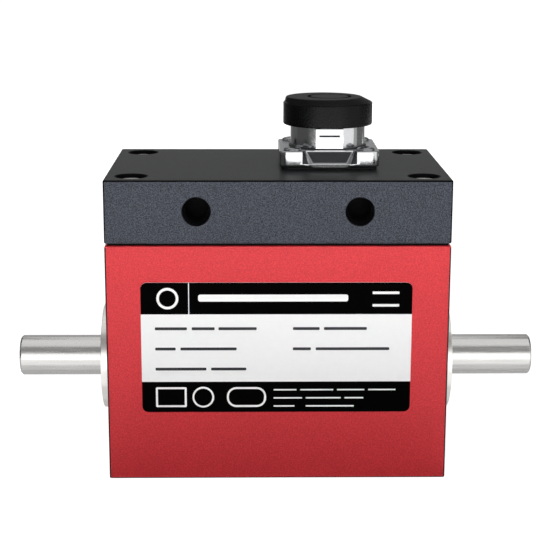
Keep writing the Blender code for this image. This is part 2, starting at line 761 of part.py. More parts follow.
def build_brushes():
    """The moulded holder on the pocket's floor, its screws, and a brush for each ring."""
    left = RINGS_MIDDLE - HOLDER_REACH
    right = RINGS_MIDDLE + HOLDER_REACH
    foot = box_mesh((left, HOLDER_TOE, HOLDER_BOTTOM), (right, HOLDER_BACK, HOLDER_FOOT_TOP))
    holder = add_part("brush_holder", foot, insulating_plastic)
    wall = box_mesh((left, HOLDER_FRONT, HOLDER_BOTTOM), (right, HOLDER_BACK, HOLDER_TOP))
    cut(holder, "holder_wall", wall, operation="UNION")
    half_width = BRUSH_WIDTH / 2
    half_height = BRUSH_HEIGHT / 2
    slots = [
        (
            (x - half_width - SEAT_GAP, HOLDER_FRONT - CUT_MARGIN, SHAFT_HEIGHT - half_height - SEAT_GAP),
            (x + half_width + SEAT_GAP, BRUSH_TAIL + SEAT_GAP, SHAFT_HEIGHT + half_height + SEAT_GAP),
        )
        for x in RING_PLACES
    ]
    cut(holder, "brush_slots", boxes_mesh(slots))
    screw_holes = rods_mesh(
        HOLDER_SCREW_PLACES,
        HOLDER_BOTTOM - CUT_MARGIN,
        HOLDER_FOOT_TOP + CUT_MARGIN,
        HOLDER_SCREW_DIAMETER / 2 + SEAT_GAP,
        SMALL_STEPS,
    )
    cut(holder, "holder_screw_holes", screw_holes)
    for number, (x, y) in enumerate(HOLDER_SCREW_PLACES, 1):
        seat = HOLDER_FOOT_TOP + SEAT_GAP
        points = [
            (0, HOLDER_SCREW_HEAD_HEIGHT),
            (HOLDER_SCREW_HEAD / 2, HOLDER_SCREW_HEAD_HEIGHT),
            (HOLDER_SCREW_HEAD / 2, 0),
            (HOLDER_SCREW_DIAMETER / 2, 0),
            (HOLDER_SCREW_DIAMETER / 2, POCKET_FLOOR - HOLDER_SCREW_GRIP - seat),
            (0, POCKET_FLOOR - HOLDER_SCREW_GRIP - seat),
        ]
        add_turned(
            f"holder_screw_{number}",
            points,
            stainless,
            SMALL_STEPS,
            closed=False,
            location=(x, y, seat),
        )
    brush = box_mesh((-half_width, BRUSH_TIP, -half_height), (half_width, BRUSH_TAIL, half_height))
    for number, x in enumerate(RING_PLACES, 1):
        add_part(f"brush_{number}", brush, carbon, location=(x, 0, SHAFT_HEIGHT))


def scoop_mesh():
    """The dip in the flange's front: wide and deep at the top, narrow and shallow at its lip."""
    floor = FLANGE_BOTTOM + SCOOP_LIP
    mesh = box_mesh((-1, -1, 0), (1, 1, 1))
    front = -FLANGE_REACH
    for vert in mesh.vertices:
        at_top = vert.co.z > 0.5
        width = SCOOP_TOP_WIDTH if at_top else SCOOP_FLOOR_WIDTH
        depth = SCOOP_TOP_DEPTH if at_top else SCOOP_FLOOR_DEPTH
        vert.co.x *= width / 2
        vert.co.y = front - CUT_MARGIN if vert.co.y < 0 else front + depth
        vert.co.z = FLANGE_TOP + SEAT_GAP if at_top else floor
    return mesh


def build_socket():
    """The die-cast socket: square flange, round shell with a latch pad, barrel through the lid."""
    plate = box_mesh(
        (-FLANGE_REACH, -FLANGE_REACH, FLANGE_BOTTOM),
        (FLANGE_REACH, FLANGE_REACH, FLANGE_TOP),
        FLANGE_CORNER,
    )
    shell = add_part("connector_shell", plate, chrome_plate, parent=socket_axis)
    tube_points = [
        (0, SHELL_TOP),
        (SHELL_RADIUS - SHELL_CHAMFER, SHELL_TOP),
        (SHELL_RADIUS, SHELL_TOP - SHELL_CHAMFER),
        (SHELL_RADIUS, (FLANGE_BOTTOM + FLANGE_TOP) / 2),
        (BARREL_RADIUS, (FLANGE_BOTTOM + FLANGE_TOP) / 2),
        (BARREL_RADIUS, BARREL_BOTTOM),
        (0, BARREL_BOTTOM),
    ]
    tube = cut(
        shell, "shell_tube", turned_mesh(tube_points, False), operation="UNION", parent=socket_axis
    )
    turn(tube, SOCKET_STEPS)
    pad = box_mesh(
        (-PAD_WIDTH / 2, PAD_FRONT, FLANGE_TOP - CUT_MARGIN),
        (PAD_WIDTH / 2, -(SHELL_RADIUS + BORE_RADIUS) / 2, PAD_TOP),
    )
    cut(shell, "latch_pad", pad, operation="UNION", parent=socket_axis)
    bore_points = [
        (0, SHELL_TOP + CUT_MARGIN),
        (BORE_RADIUS, SHELL_TOP + CUT_MARGIN),
        (BORE_RADIUS, BARREL_BOTTOM + BARREL_LIP_HEIGHT),
        (BORE_RADIUS - BARREL_LIP, BARREL_BOTTOM + BARREL_LIP_HEIGHT),
        (BORE_RADIUS - BARREL_LIP, BARREL_BOTTOM - CUT_MARGIN),
        (0, BARREL_BOTTOM - CUT_MARGIN),
    ]
    bore = cut(shell, "shell_bore", turned_mesh(bore_points, False), parent=socket_axis)
    turn(bore, SOCKET_STEPS)
    slot_top = PAD_TOP - PAD_SLOT_BELOW_TOP
    slot = box_mesh(
        (-PAD_SLOT_WIDTH / 2, PAD_FRONT - CUT_MARGIN, slot_top - PAD_SLOT_HEIGHT),
        (PAD_SLOT_WIDTH / 2, PAD_FRONT + PAD_SLOT_DEPTH, slot_top),
    )
    cut(shell, "latch_slot", slot, parent=socket_axis)
    cut(shell, "scoop", scoop_mesh(), parent=socket_axis)
    screw_holes = rods_mesh(
        FLANGE_SCREW_PLACES,
        FLANGE_BOTTOM - CUT_MARGIN,
        FLANGE_TOP + CUT_MARGIN,
        FLANGE_SCREW_DIAMETER / 2 + SEAT_GAP,
        SMALL_STEPS,
    )
    cut(shell, "flange_screw_holes", screw_holes, parent=socket_axis)


def build_gasket():
    """The rubber gasket between the flange and the lid."""
    half = FLANGE_REACH - GASKET_INSET
    plate = box_mesh(
        (-half, -half, SEAT_GAP), (half, half, SEAT_GAP + GASKET_THICKNESS), FLANGE_CORNER
    )
    gasket = add_part("connector_gasket", plate, black_rubber, parent=socket_axis)
    top = FLANGE_BOTTOM + CUT_MARGIN
    hole = rods_mesh([(0, 0)], -CUT_MARGIN, top, BARREL_RADIUS + BARREL_HOLE_GAP, SOCKET_STEPS)
    cut(gasket, "gasket_hole", hole, parent=socket_axis)
    screw_holes = rods_mesh(
        FLANGE_SCREW_PLACES, -CUT_MARGIN, top, FLANGE_SCREW_DIAMETER / 2 + SEAT_GAP, SMALL_STEPS
    )
    cut(gasket, "gasket_screw_holes", screw_holes, parent=socket_axis)


def build_flange_screws():
    for number, (x, y) in enumerate(FLANGE_SCREW_PLACES, 1):
        add_screw(
            f"flange_screw_{number}",
            stainless,
            socket_axis,
            (x, y, FLANGE_TOP + SEAT_GAP),
            FLANGE_SCREW_HEAD,
            FLANGE_SCREW_HEAD_HEIGHT,
            FLANGE_SCREW_DIAMETER,
            FLANGE_TOP + FLANGE_SCREW_GRIP,
            FLANGE_SCREW_SOCKET,
            FLANGE_SCREW_SOCKET_DEPTH,
        )


def build_contacts():
    """The plastic insert seated on the barrel's lip, and the contact pins through it."""
    disc = rods_mesh([(0, 0)], INSERT_BOTTOM, INSERT_TOP, BORE_RADIUS - SEAT_GAP, SOCKET_STEPS)
    insert = add_part("connector_insert", disc, insulating_plastic, parent=socket_axis)
    holes = rods_mesh(
        PIN_PLACES,
        INSERT_BOTTOM - CUT_MARGIN,
        INSERT_TOP + CUT_MARGIN,
        PIN_DIAMETER / 2 + SEAT_GAP,
        SMALL_STEPS,
    )
    cut(insert, "pin_holes", holes, parent=socket_axis)
    top = INSERT_TOP + PIN_PROUD
    points = [
        (0, top),
        (PIN_DIAMETER / 2 - PIN_TIP, top),
        (PIN_DIAMETER / 2, top - PIN_TIP),
        (PIN_DIAMETER / 2, INSERT_BOTTOM - PIN_TAIL),
        (0, INSERT_BOTTOM - PIN_TAIL),
    ]
    for number, (x, y) in enumerate(PIN_PLACES, 1):
        add_turned(
            f"connector_pin_{number}",
            points,
            gilt_brass,
            SMALL_STEPS,
            closed=False,
            parent=socket_axis,
            location=(x, y, 0),
        )


def build_cap():
    """The pull-off dust cap, with an off-centre step round its top, and the seal in its ceiling."""
    shape = bmesh.new()
    bmesh.ops.create_cone(
        shape,
        cap_ends=True,
        segments=SOCKET_STEPS,
        radius1=CAP_RADIUS,
        radius2=CAP_RADIUS,
        depth=CAP_SHOULDER - CAP_RIM,
        matrix=Matrix.Translation((0, 0, (CAP_SHOULDER + CAP_RIM) / 2)),
    )
    top_face = max(shape.faces, key=lambda face: face.calc_center_median().z)
    raised = bmesh.ops.extrude_face_region(shape, geom=[top_face])["geom"]
    bmesh.ops.delete(shape, geom=[top_face], context="FACES_ONLY")
    shrink = (CAP_RADIUS - CAP_STEP_WIDTH) / CAP_RADIUS
    for vert in [item for item in raised if isinstance(item, bmesh.types.BMVert)]:
        vert.co = (vert.co.x * shrink - CAP_STEP_OFFSET, vert.co.y * shrink, CAP_TOP)
    cap = add_part("dust_cap", to_mesh("cap", shape), matt_black, parent=socket_axis)
    bore = rods_mesh([(0, 0)], CAP_RIM - CUT_MARGIN, CAP_CEILING, CAP_BORE_RADIUS, SOCKET_STEPS)
    cut(cap, "cap_bore", bore, parent=socket_axis)
    half = CAP_RING_WIDTH / 2
    groove = ring_section(
        CAP_RING_RADIUS - half, CAP_RING_RADIUS + half, CAP_TOP - CAP_RING_DEPTH, CAP_TOP + CUT_MARGIN
    )
    tool = cut(cap, "cap_ring", turned_mesh(groove, True), parent=socket_axis)
    turn(tool, SHAFT_STEPS)
    bottom = SHELL_TOP + SEAT_GAP
    seal = ring_section(BORE_RADIUS, SHELL_RADIUS, bottom, bottom + CAP_SEAL_THICKNESS)
    add_turned("cap_seal", seal, black_rubber, SHAFT_STEPS, parent=socket_axis)


def build_label():
    """The printed plate on the front of the block."""
    half_width = LABEL_WIDTH / 2
    half_height = LABEL_HEIGHT / 2
    plate = box_mesh(
        (-half_width, -half_height, SEAT_GAP),
        (half_width, half_height, SEAT_GAP + LABEL_THICKNESS),
        LABEL_CORNER,
    )
    add_part(
        "rating_label",
        plate,
        label_film,
        location=(LABEL_OFFSET, -BODY_SIDE, LABEL_ABOVE_BASE + half_height),
        rotation=TO_FRONT,
    )


clear_scene()
parts = new_collection("rotary_torque_sensor")
cutters = new_collection("cutters")

red_anodised = new_material("red_anodised_aluminium", (0.50, 0.04, 0.05), 0.5, 0.3)
dark_anodised = new_material("dark_anodised_aluminium", (0.07, 0.08, 0.10), 0.5, 0.3)
turned_aluminium = new_material("turned_aluminium", (0.80, 0.80, 0.79), 0.35, 1.0)
ground_steel = new_material("ground_steel", (0.62, 0.61, 0.60), 0.25, 1.0)
bearing_steel = new_material("bearing_steel", (0.66, 0.66, 0.67), 0.15, 1.0)
stainless = new_material("stainless_steel", (0.60, 0.60, 0.60), 0.3, 1.0)
cage_brass = new_material("cage_brass", (0.62, 0.44, 0.16), 0.35, 1.0)
ring_brass = new_material("ring_brass", (0.72, 0.52, 0.20), 0.2, 1.0)
gilt_brass = new_material("gilt_brass", (0.85, 0.62, 0.22), 0.2, 1.0)
chrome_plate = new_material("chrome_plated_zinc", (0.75, 0.75, 0.76), 0.12, 1.0)
insulating_plastic = new_material("insulating_plastic", (0.03, 0.03, 0.03), 0.5)
matt_black = new_material("matt_black_plastic", (0.02, 0.02, 0.022), 0.6)
black_rubber = new_material("black_rubber", (0.015, 0.015, 0.015), 0.8)
carbon = new_material("carbon_brush", (0.05, 0.05, 0.05), 0.6)
gauge_foil = new_material("gauge_film", (0.70, 0.42, 0.12), 0.4)
label_film = new_material("label_film", (0.80, 0.80, 0.80), 0.35)

shaft_axis = add_axis("shaft_axis", (0, 0, SHAFT_HEIGHT), TO_RIGHT)
end_axes = {
    "left": add_axis("left_bearing_axis", (0, 0, SHAFT_HEIGHT), TO_LEFT),
    "right": add_axis("right_bearing_axis", (0, 0, SHAFT_HEIGHT), TO_RIGHT),
}
socket_axis = add_axis("socket_axis", (SOCKET_X, SOCKET_Y, BODY_HEIGHT))

build_lower_housing()
build_top_housing()
build_shaft()
build_gauges()
for side, axis in end_axes.items():
    build_bearing(side, axis)
    build_cover(side, axis)
build_slip_rings()
build_brushes()
build_gasket()
build_socket()
build_flange_screws()
build_contacts()
build_cap()
build_label()
for obj in parts.objects:
    if obj.type == "MESH":
        obj.data.set_sharp_from_angle(angle=math.radians(35))
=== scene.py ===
import math

import bmesh
import bpy
from mathutils import Matrix, Vector


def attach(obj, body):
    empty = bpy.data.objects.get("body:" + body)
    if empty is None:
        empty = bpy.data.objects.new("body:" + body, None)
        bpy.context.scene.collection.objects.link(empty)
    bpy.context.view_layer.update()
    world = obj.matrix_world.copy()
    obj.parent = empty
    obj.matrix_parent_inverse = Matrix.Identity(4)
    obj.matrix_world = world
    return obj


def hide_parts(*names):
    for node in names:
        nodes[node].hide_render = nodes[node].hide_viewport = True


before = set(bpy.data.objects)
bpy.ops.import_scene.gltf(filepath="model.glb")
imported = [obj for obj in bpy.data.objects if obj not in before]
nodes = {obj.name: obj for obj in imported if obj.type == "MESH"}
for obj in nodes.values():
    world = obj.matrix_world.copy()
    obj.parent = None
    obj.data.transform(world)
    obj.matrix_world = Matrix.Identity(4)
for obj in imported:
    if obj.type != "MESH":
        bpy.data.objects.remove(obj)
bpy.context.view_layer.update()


# Lower housing: a block of aluminium, milled on all sides, bead-blasted and anodised red. Its pocket,
# bearing bores and tapped holes are cut first. The lid, the bearings and the label are fixed to it.
# Lengths are in mm.


def linear(code):
    """An sRGB hex colour as the linear RGBA that a shader takes."""
    parts = [int(code[i : i + 2], 16) / 255 for i in (1, 3, 5)]
    return (*[c / 12.92 if c <= 0.04045 else ((c + 0.055) / 1.055) ** 2.4 for c in parts], 1)


def link(tree, node, links):
    """Links other nodes' outputs to a node's sockets."""
    for key, output in links.items():
        tree.links.new(output, node.inputs[key])


def add_node(tree, kind, settings, links=None):
    """Adds a shader node, such as Mix, sets its options and sockets, and links outputs to it."""
    node = tree.nodes.new("ShaderNode" + kind)
    for key, value in settings.items():
        if isinstance(key, str) and hasattr(node, key):
            setattr(node, key, value)
        else:
            node.inputs[key].default_value = value
    link(tree, node, links or {})
    return node


def new_finish(name, **settings):
    """A new material, its shader and the object's coordinates. A setting's underscore is a space."""
    finish = bpy.data.materials.new(name)
    finish.use_nodes = True
    tree = finish.node_tree
    shader = tree.nodes["Principled BSDF"]
    for key, value in settings.items():
        shader.inputs[key.replace("_", " ")].default_value = value
    return finish, tree, shader, add_node(tree, "TexCoord", {}).outputs["Object"]


def blasted_anodised(name, shade, light, grain_mm, chip=None, **settings):
    """Dyed anodic film over bead-blasted aluminium: a matt sheen, broken by the blasting's grain."""
    finish, tree, shader, place = new_finish(name, **settings)
    grain = add_node(
        tree,
        "TexNoise",
        {"Scale": 1000 / grain_mm, "Detail": 3.0, "Roughness": 0.65},
        {"Vector": place},
    ).outputs["Fac"]
    spread = add_node(
        tree, "MapRange", {"From Min": 0.34, "From Max": 0.68}, {"Value": grain}
    ).outputs["Result"]
    colour = add_node(
        tree, "Mix", {"data_type": "RGBA", 6: linear(shade), 7: linear(light)}, {0: spread}
    ).outputs[2]
    # The film's dye takes a little unevenly, in clouds of about 15 mm.
    clouds = add_node(
        tree, "TexNoise", {"Scale": 66.0, "Detail": 2.0}, {"Vector": place}
    ).outputs["Fac"]
    depth = add_node(
        tree, "MapRange", {"To Min": 0.93, "To Max": 1.07}, {"Value": clouds}
    ).outputs["Result"]
    colour = add_node(tree, "HueSaturation", {}, {"Value": depth, "Color": colour}).outputs["Color"]
    if chip:
        centre, size = chip
        near = add_node(
            tree,
            "Mapping",
            {
                "vector_type": "TEXTURE",
                "Location": [c / 1000 for c in centre],
                "Scale": [s / 1000 for s in size],
            },
            {"Vector": place},
        ).outputs["Vector"]
        edge = add_node(tree, "VectorMath", {"operation": "LENGTH"}, {0: near}).outputs["Value"]
        bare = add_node(tree, "Math", {"operation": "LESS_THAN", 1: 1.0}, {0: edge}).outputs["Value"]
        colour = add_node(
            tree, "Mix", {"data_type": "RGBA", 7: linear("#E8E4DE")}, {0: bare, 6: colour}
        ).outputs[2]
    pits = add_node(
        tree, "TexNoise", {"Scale": 1600 / grain_mm, "Detail": 2.0}, {"Vector": place}
    ).outputs["Fac"]
    bump = add_node(
        tree, "Bump", {"Strength": 0.6, "Distance": 0.00004}, {"Height": pits}
    ).outputs["Normal"]
    link(tree, shader, {"Base Color": colour, "Normal": bump})
    return finish


def grained(name, colour, roughness, grain_mm, tone=0.2, sheen=0.06, depth=0.3, **settings):
    """One even colour with a fine grain, which breaks up its gloss and gives it a slight relief."""
    finish, tree, shader, place = new_finish(name, **settings)
    grain = add_node(
        tree, "TexNoise", {"Scale": 1000 / grain_mm, "Detail": 2.0, "Roughness": 0.6}, {"Vector": place}
    ).outputs["Fac"]
    share = add_node(
        tree, "MapRange", {"From Min": 0.3, "From Max": 0.7, "To Min": -1.0}, {"Value": grain}
    ).outputs["Result"]
    value = add_node(
        tree, "Math", {"operation": "MULTIPLY_ADD", 1: tone, 2: 1.0}, {0: share}
    ).outputs["Value"]
    colour = add_node(
        tree, "HueSaturation", {"Color": linear(colour)}, {"Value": value}
    ).outputs["Color"]
    gloss = add_node(
        tree, "Math", {"operation": "MULTIPLY_ADD", 1: sheen, 2: roughness}, {0: share}
    ).outputs["Value"]
    bump = add_node(
        tree, "Bump", {"Strength": depth, "Distance": 0.00003}, {"Height": grain}
    ).outputs["Normal"]
    link(tree, shader, {"Base Color": colour, "Roughness": gloss, "Normal": bump})
    return finish


def block(low, high, edge=0.0, upright=0.0):
    """A box between two corners. Its upright edges can have a radius, and all edges are broken."""
    shape = bmesh.new()
    size = [h - l for l, h in zip(low, high)]
    middle = [(l + h) / 2 for l, h in zip(low, high)]
    matrix = Matrix.Translation(middle) @ Matrix.Diagonal((*size, 1))
    bmesh.ops.create_cube(shape, size=1, matrix=matrix)
    if upright:
        tall = [e for e in shape.edges if abs(e.verts[0].co.z - e.verts[1].co.z) > size[2] / 2]
        bmesh.ops.bevel(shape, geom=tall, offset=upright, segments=8, profile=0.5, affect="EDGES")
    if edge:
        rims = [e for e in shape.edges if e.calc_face_angle(0) > math.radians(40)]
        bmesh.ops.bevel(shape, geom=rims, offset=edge, segments=2, profile=0.5, affect="EDGES")
    return shape


def rod(start, end, radius, end_radius=None, steps=64):
    """A round bar between two points, or a cone where its end has another radius."""
    start, end = Vector(start), Vector(end)
    turn = (end - start).to_track_quat("Z", "Y").to_matrix().to_4x4()
    shape = bmesh.new()
    bmesh.ops.create_cone(
        shape,
        cap_ends=True,
        segments=steps,
        radius1=radius,
        radius2=radius if end_radius is None else end_radius,
        depth=(end - start).length,
        matrix=Matrix.Translation((start + end) / 2) @ turn,
    )
    return shape


def thread(mouth, inwards, length, core, major, pitch):
    """The ridge that a tap leaves in a hole, from the hole's mouth inwards."""
    steps = 40
    turns = length / pitch - 1
    shape = bmesh.new()
    turn = Vector(inwards).to_track_quat("Z", "Y").to_matrix().to_4x4()
    matrix = Matrix.Translation(mouth) @ turn
    rings = []
    for i in range(int(turns * steps) + 1):
        angle = 2 * math.pi * i / steps
        rise = pitch * (i / steps + 0.5)
        runout = min(1.0, i / steps * 2, (turns * steps - i) / steps * 2)
        crest = major - (major - core) * max(runout, 0.02)
        section = [(major + 0.03, -0.46), (crest, -0.07), (crest, 0.07), (major + 0.03, 0.46)]
        ring = [
            (r / 2 * math.cos(angle), r / 2 * math.sin(angle), rise + h * pitch) for r, h in section
        ]
        rings.append([shape.verts.new(matrix @ Vector(p)) for p in ring])
    for one, two in zip(rings, rings[1:]):
        for i in range(4):
            j = (i + 1) % 4
            shape.faces.new((one[i], one[j], two[j], two[i]))
    shape.faces.new(rings[0])
    shape.faces.new(rings[-1][::-1])
    bmesh.ops.recalc_face_normals(shape, faces=shape.faces)
    return shape


def machined(stock, cuts=(), joins=()):
    """The stock with shapes joined to it and then cuts taken out of it."""
    made = []
    for shape in (stock, *joins, *cuts):
        mesh = bpy.data.meshes.new("stock")
        shape.to_mesh(mesh)
        shape.free()
        made.append(bpy.data.objects.new("stock", mesh))
        bpy.context.scene.collection.objects.link(made[-1])
    for i, tool in enumerate(made[1:]):
        boolean = made[0].modifiers.new("tool", "BOOLEAN")
        boolean.operation = "UNION" if i < len(joins) else "DIFFERENCE"
        boolean.solver = "EXACT"
        boolean.object = tool
    bpy.context.view_layer.update()
    result = bmesh.new()
    result.from_object(made[0], bpy.context.evaluated_depsgraph_get())
    for obj in made:
        bpy.data.objects.remove(obj)
    return result


def together(*shapes):
    """Several shapes as one."""
    whole = bmesh.new()
    for shape in shapes:
        mesh = bpy.data.meshes.new("part")
        shape.to_mesh(mesh)
        shape.free()
        whole.from_mesh(mesh)
        bpy.data.meshes.remove(mesh)
    return whole


def add_piece(name, shape, finish, body, replaced):
    """Puts a shape in mm into the scene as a piece that stands for CAD nodes and rides on their body."""
    # Slivers that the cuts leave, narrower than 2 thousandths of a millimetre, are closed up.
    bmesh.ops.dissolve_degenerate(shape, dist=0.002, edges=shape.edges)
    bmesh.ops.scale(shape, vec=(0.001, 0.001, 0.001), verts=shape.verts)
    mesh = bpy.data.meshes.new(name)
    shape.to_mesh(mesh)
    shape.free()
    mesh.materials.append(finish)
    mesh.polygons.foreach_set("use_smooth", [True] * len(mesh.polygons))
    mesh.set_sharp_from_angle(angle=math.radians(35))
    piece = bpy.data.objects.new(name, mesh)
    bpy.context.scene.collection.objects.link(piece)
    # Broad faces keep their flat shading beside a rounded edge.
    piece.modifiers.new("even_shading", "WEIGHTED_NORMAL").keep_sharp = True
    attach(piece, body)
    if replaced:
        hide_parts(*replaced)
    return piece


half_length, half_depth, joint_height = 36, 23, 51.4
shaft_height, bearing_bore, shaft_bore, bearing_seat = 21, 10.1, 8.4, 28.3
lid_screws = [(x, y) for x in (-30.6, 30.6) for y in (-17.3, 17.3)]
base_holes = [(x, y) for x in (-28, 28) for y in (-16, 16)]
base_thread, base_core, base_pitch, base_hole_depth = 5, 4.2, 0.8, 8
lid_screw_core, lid_screw_passage = 1.6, 1.75
# Dye in the blasted film gives a deep red with a fine dark grain. A knock has bared one spot.
red_anodised = blasted_anodised(
    "bead_blasted_red_anodised_aluminium",
    "#A60E16",
    "#D02730",
    0.27,
    chip=((-half_length, -half_depth, 20.7), (0.25, 0.25, 0.75)),
    Roughness=0.45,
    Metallic=0.25,
)
cuts = [block((-22, -15, 6), (22, 15, 53), upright=3)]
for side in (-1, 1):
    inner, outer = (side * bearing_seat, 0, shaft_height), (side * 37, 0, shaft_height)
    cuts.append(rod(inner, outer, bearing_bore, steps=96))
cuts.append(rod((-29, 0, shaft_height), (29, 0, shaft_height), shaft_bore, steps=96))
cuts += [rod((x, y, 44.5), (x, y, 53), lid_screw_core, steps=32) for x, y in lid_screws]
for x, y in base_holes:
    cuts.append(rod((x, y, -0.5), (x, y, base_hole_depth), base_thread / 2, steps=48))
    cuts.append(rod((x, y, -0.5), (x, y, 0.3), 3.4, base_thread / 2, steps=48))
# The top has a shallow rebate at the joint with the lid. Its faces are painted near-black, as painted
# shade in a line.
shoulder = 50.96
neck = block((-35.4, -22.4, 50), (35.4, 22.4, joint_height))
stock = block((-half_length, -half_depth, 0), (half_length, half_depth, shoulder), edge=0.32)
housing = machined(stock, cuts, [neck])
threads = [
    thread((x, y, 0), (0, 0, 1), base_hole_depth, base_core, base_thread, base_pitch)
    for x, y in base_holes
]
piece = add_piece(
    "housing_block",
    together(housing, *threads),
    red_anodised,
    "housing",
    ["lower_housing"],
)


def refinish_faces(piece, finish, chosen):
    """Gives another finish to the faces whose middle in mm and normal pass a test."""
    piece.data.materials.append(finish)
    slot = len(piece.data.materials) - 1
    for face in piece.data.polygons:
        if chosen(face.center * 1000, face.normal):
            face.material_index = slot


def darken_edges(piece, finish, rim):
    """Gives the broken upright edges of a block, and those of its rim at a height, a dark finish that is
    painted shade.
    """
    reach = 0.35

    def on_edge(spot, normal):
        x, y, z = (abs(part) for part in normal)
        upright = min(x, y) > 0.15 and z < 0.1
        at_rim = abs(spot.z - rim) < reach and 0.15 < z < 0.99
        from_side = min(half_length - abs(spot.x), half_depth - abs(spot.y))
        return from_side < reach and (upright or at_rim)

    refinish_faces(piece, finish, on_edge)


# Painted shade: the rebate's faces are a dull near-black, standing in for the shaded line in the joint.
joint_shade_finish = grained("painted_joint_shade", "#020102", 0.5, 0.4, Specular_IOR_Level=0.05)
refinish_faces(
    piece, joint_shade_finish, lambda spot, normal: spot.z > shoulder + 0.01 and abs(normal.z) < 0.5
)
# Painted shade: the broken edges are darkened, so they look like dark lines.
red_edge = grained("red_edge_painted_shade", "#1A0405", 0.5, 0.3, Specular_IOR_Level=0.1)
darken_edges(piece, red_edge, rim=0)


# Lid: the housing's upper part, milled from aluminium, bead-blasted and anodised dark grey. Four screws
# hold it down, two tapped holes in its front take a bracket, and the socket stands in its roof.

lid_bottom, lid_top = 51.45, 64.7
socket_x, socket_y, socket_hole = 11.2, 0.5, 7.5
counterbore, counterbore_mouth = 3.3, 3.58
fixing_holes = [(x, -half_depth, 58.2) for x in (-16.9, 16.9)]
fixing_bore, fixing_mouth = 2.96, 3.12
# Dark dye leaves a matt slate grey, in which the grain of the blasting shows more than in the red.
dark_anodised = blasted_anodised(
    "bead_blasted_dark_anodised_aluminium",
    "#14161A",
    "#50545F",
    0.24,
    Roughness=0.5,
    Metallic=0.1,
    Specular_IOR_Level=0.15,
)
cuts = [block((-22, -11, 50), (22, 11, 59.5), upright=3)]
cuts += [rod((x, y, 50), (x, y, 62), lid_screw_passage, steps=32) for x, y in lid_screws]
cuts += [rod((x, y, 61), (x, y, 66), counterbore) for x, y in lid_screws]
cuts += [
    rod((x, y, lid_top - 0.22), (x, y, lid_top + 0.03), counterbore, counterbore_mouth)
    for x, y in lid_screws
]
for x, y, z in fixing_holes:
    cuts.append(rod((x, y - 1, z), (x, y + 10, z), fixing_bore))
    cuts.append(rod((x, y - 0.1, z), (x, y + 0.12, z), fixing_mouth, fixing_bore))
cuts.append(rod((socket_x, socket_y, 50), (socket_x, socket_y, 66), socket_hole, steps=96))
stock = block((-half_length, -half_depth, lid_bottom), (half_length, half_depth, lid_top), edge=0.3)
threads = [thread(mouth, (0, 1, 0), 9.5, 5, 2 * fixing_bore, 1) for mouth in fixing_holes]
piece = add_piece(
    "housing_lid",
    together(machined(stock, cuts), *threads),
    dark_anodised,
    "housing",
    ["top_housing"],
)


def in_bore(spot, normal):
    """Whether a face of the lid lies in a tapped hole or a screw seat."""
    from_hole = min(math.hypot(spot.x - x, spot.z - z) for x, y, z in fixing_holes)
    from_seat = min(math.hypot(spot.x - x, spot.y - y) for x, y in lid_screws)
    in_hole = from_hole < 3.05 and -half_depth + 0.02 < spot.y < -11
    return in_hole or from_seat < 3.6 and spot.z < lid_top - 0.02


# The tapped holes and the screw seats are near-black. This is painted shade in the recesses.
bore_shade_finish = grained("black_bore_painted_shade", "#030304", 0.4, 0.3, Specular_IOR_Level=0.05)
refinish_faces(piece, bore_shade_finish, in_bore)
# The top is lapped before it is dyed, so it is smoother than the blasted sides. Its darker, more neutral
# colour is painted shade.
smooth_top_painted_shade = blasted_anodised(
    "lapped_anodised_top_painted_shade",
    "#232525",
    "#2E3031",
    0.5,
    Roughness=0.38,
    Specular_IOR_Level=0.04,
)
refinish_faces(
    piece, smooth_top_painted_shade, lambda spot, normal: normal.z > 0.99 and abs(spot.z - lid_top) < 0.01
)
# The lid's broken edges are darkened as painted shade, as the block's are.
dark_edge = grained("dark_edge_painted_shade", "#020202", 0.6, 0.3, Specular_IOR_Level=0.02)
darken_edges(piece, dark_edge, rim=lid_top)


# Lid screws: four M3 socket screws of stainless steel, cold-formed, their heads sunk in the lid's
# counterbores. Each head has a rounded rim, a knurled side and a hexagon socket.


def turned(profile, steps=96):
    """A shape turned about Z. Its (radius, height) points run from axis to axis, or round a section."""
    shape = bmesh.new()
    closed = profile[0][0] > 0
    verts = [shape.verts.new((r, 0, h)) for r, h in profile]
    pairs = zip(verts, verts[1:] + verts[:1] if closed else verts[1:])
    edges = [shape.edges.new(pair) for pair in pairs]
    bmesh.ops.spin(
        shape,
        geom=verts + edges,
        cent=(0, 0, 0),
        axis=(0, 0, 1),
        angle=2 * math.pi,
        steps=steps,
        use_merge=True,
    )
    bmesh.ops.remove_doubles(shape, verts=shape.verts, dist=0.0002)
    bmesh.ops.recalc_face_normals(shape, faces=shape.faces)
    return shape


def moved(shape, x=0, y=0, z=0, turn=None):
    """A shape turned by a rotation and then moved."""
    matrix = Matrix.Translation((x, y, z)) @ (turn or Matrix.Identity(4))
    bmesh.ops.transform(shape, matrix=matrix, verts=shape.verts)
    return shape


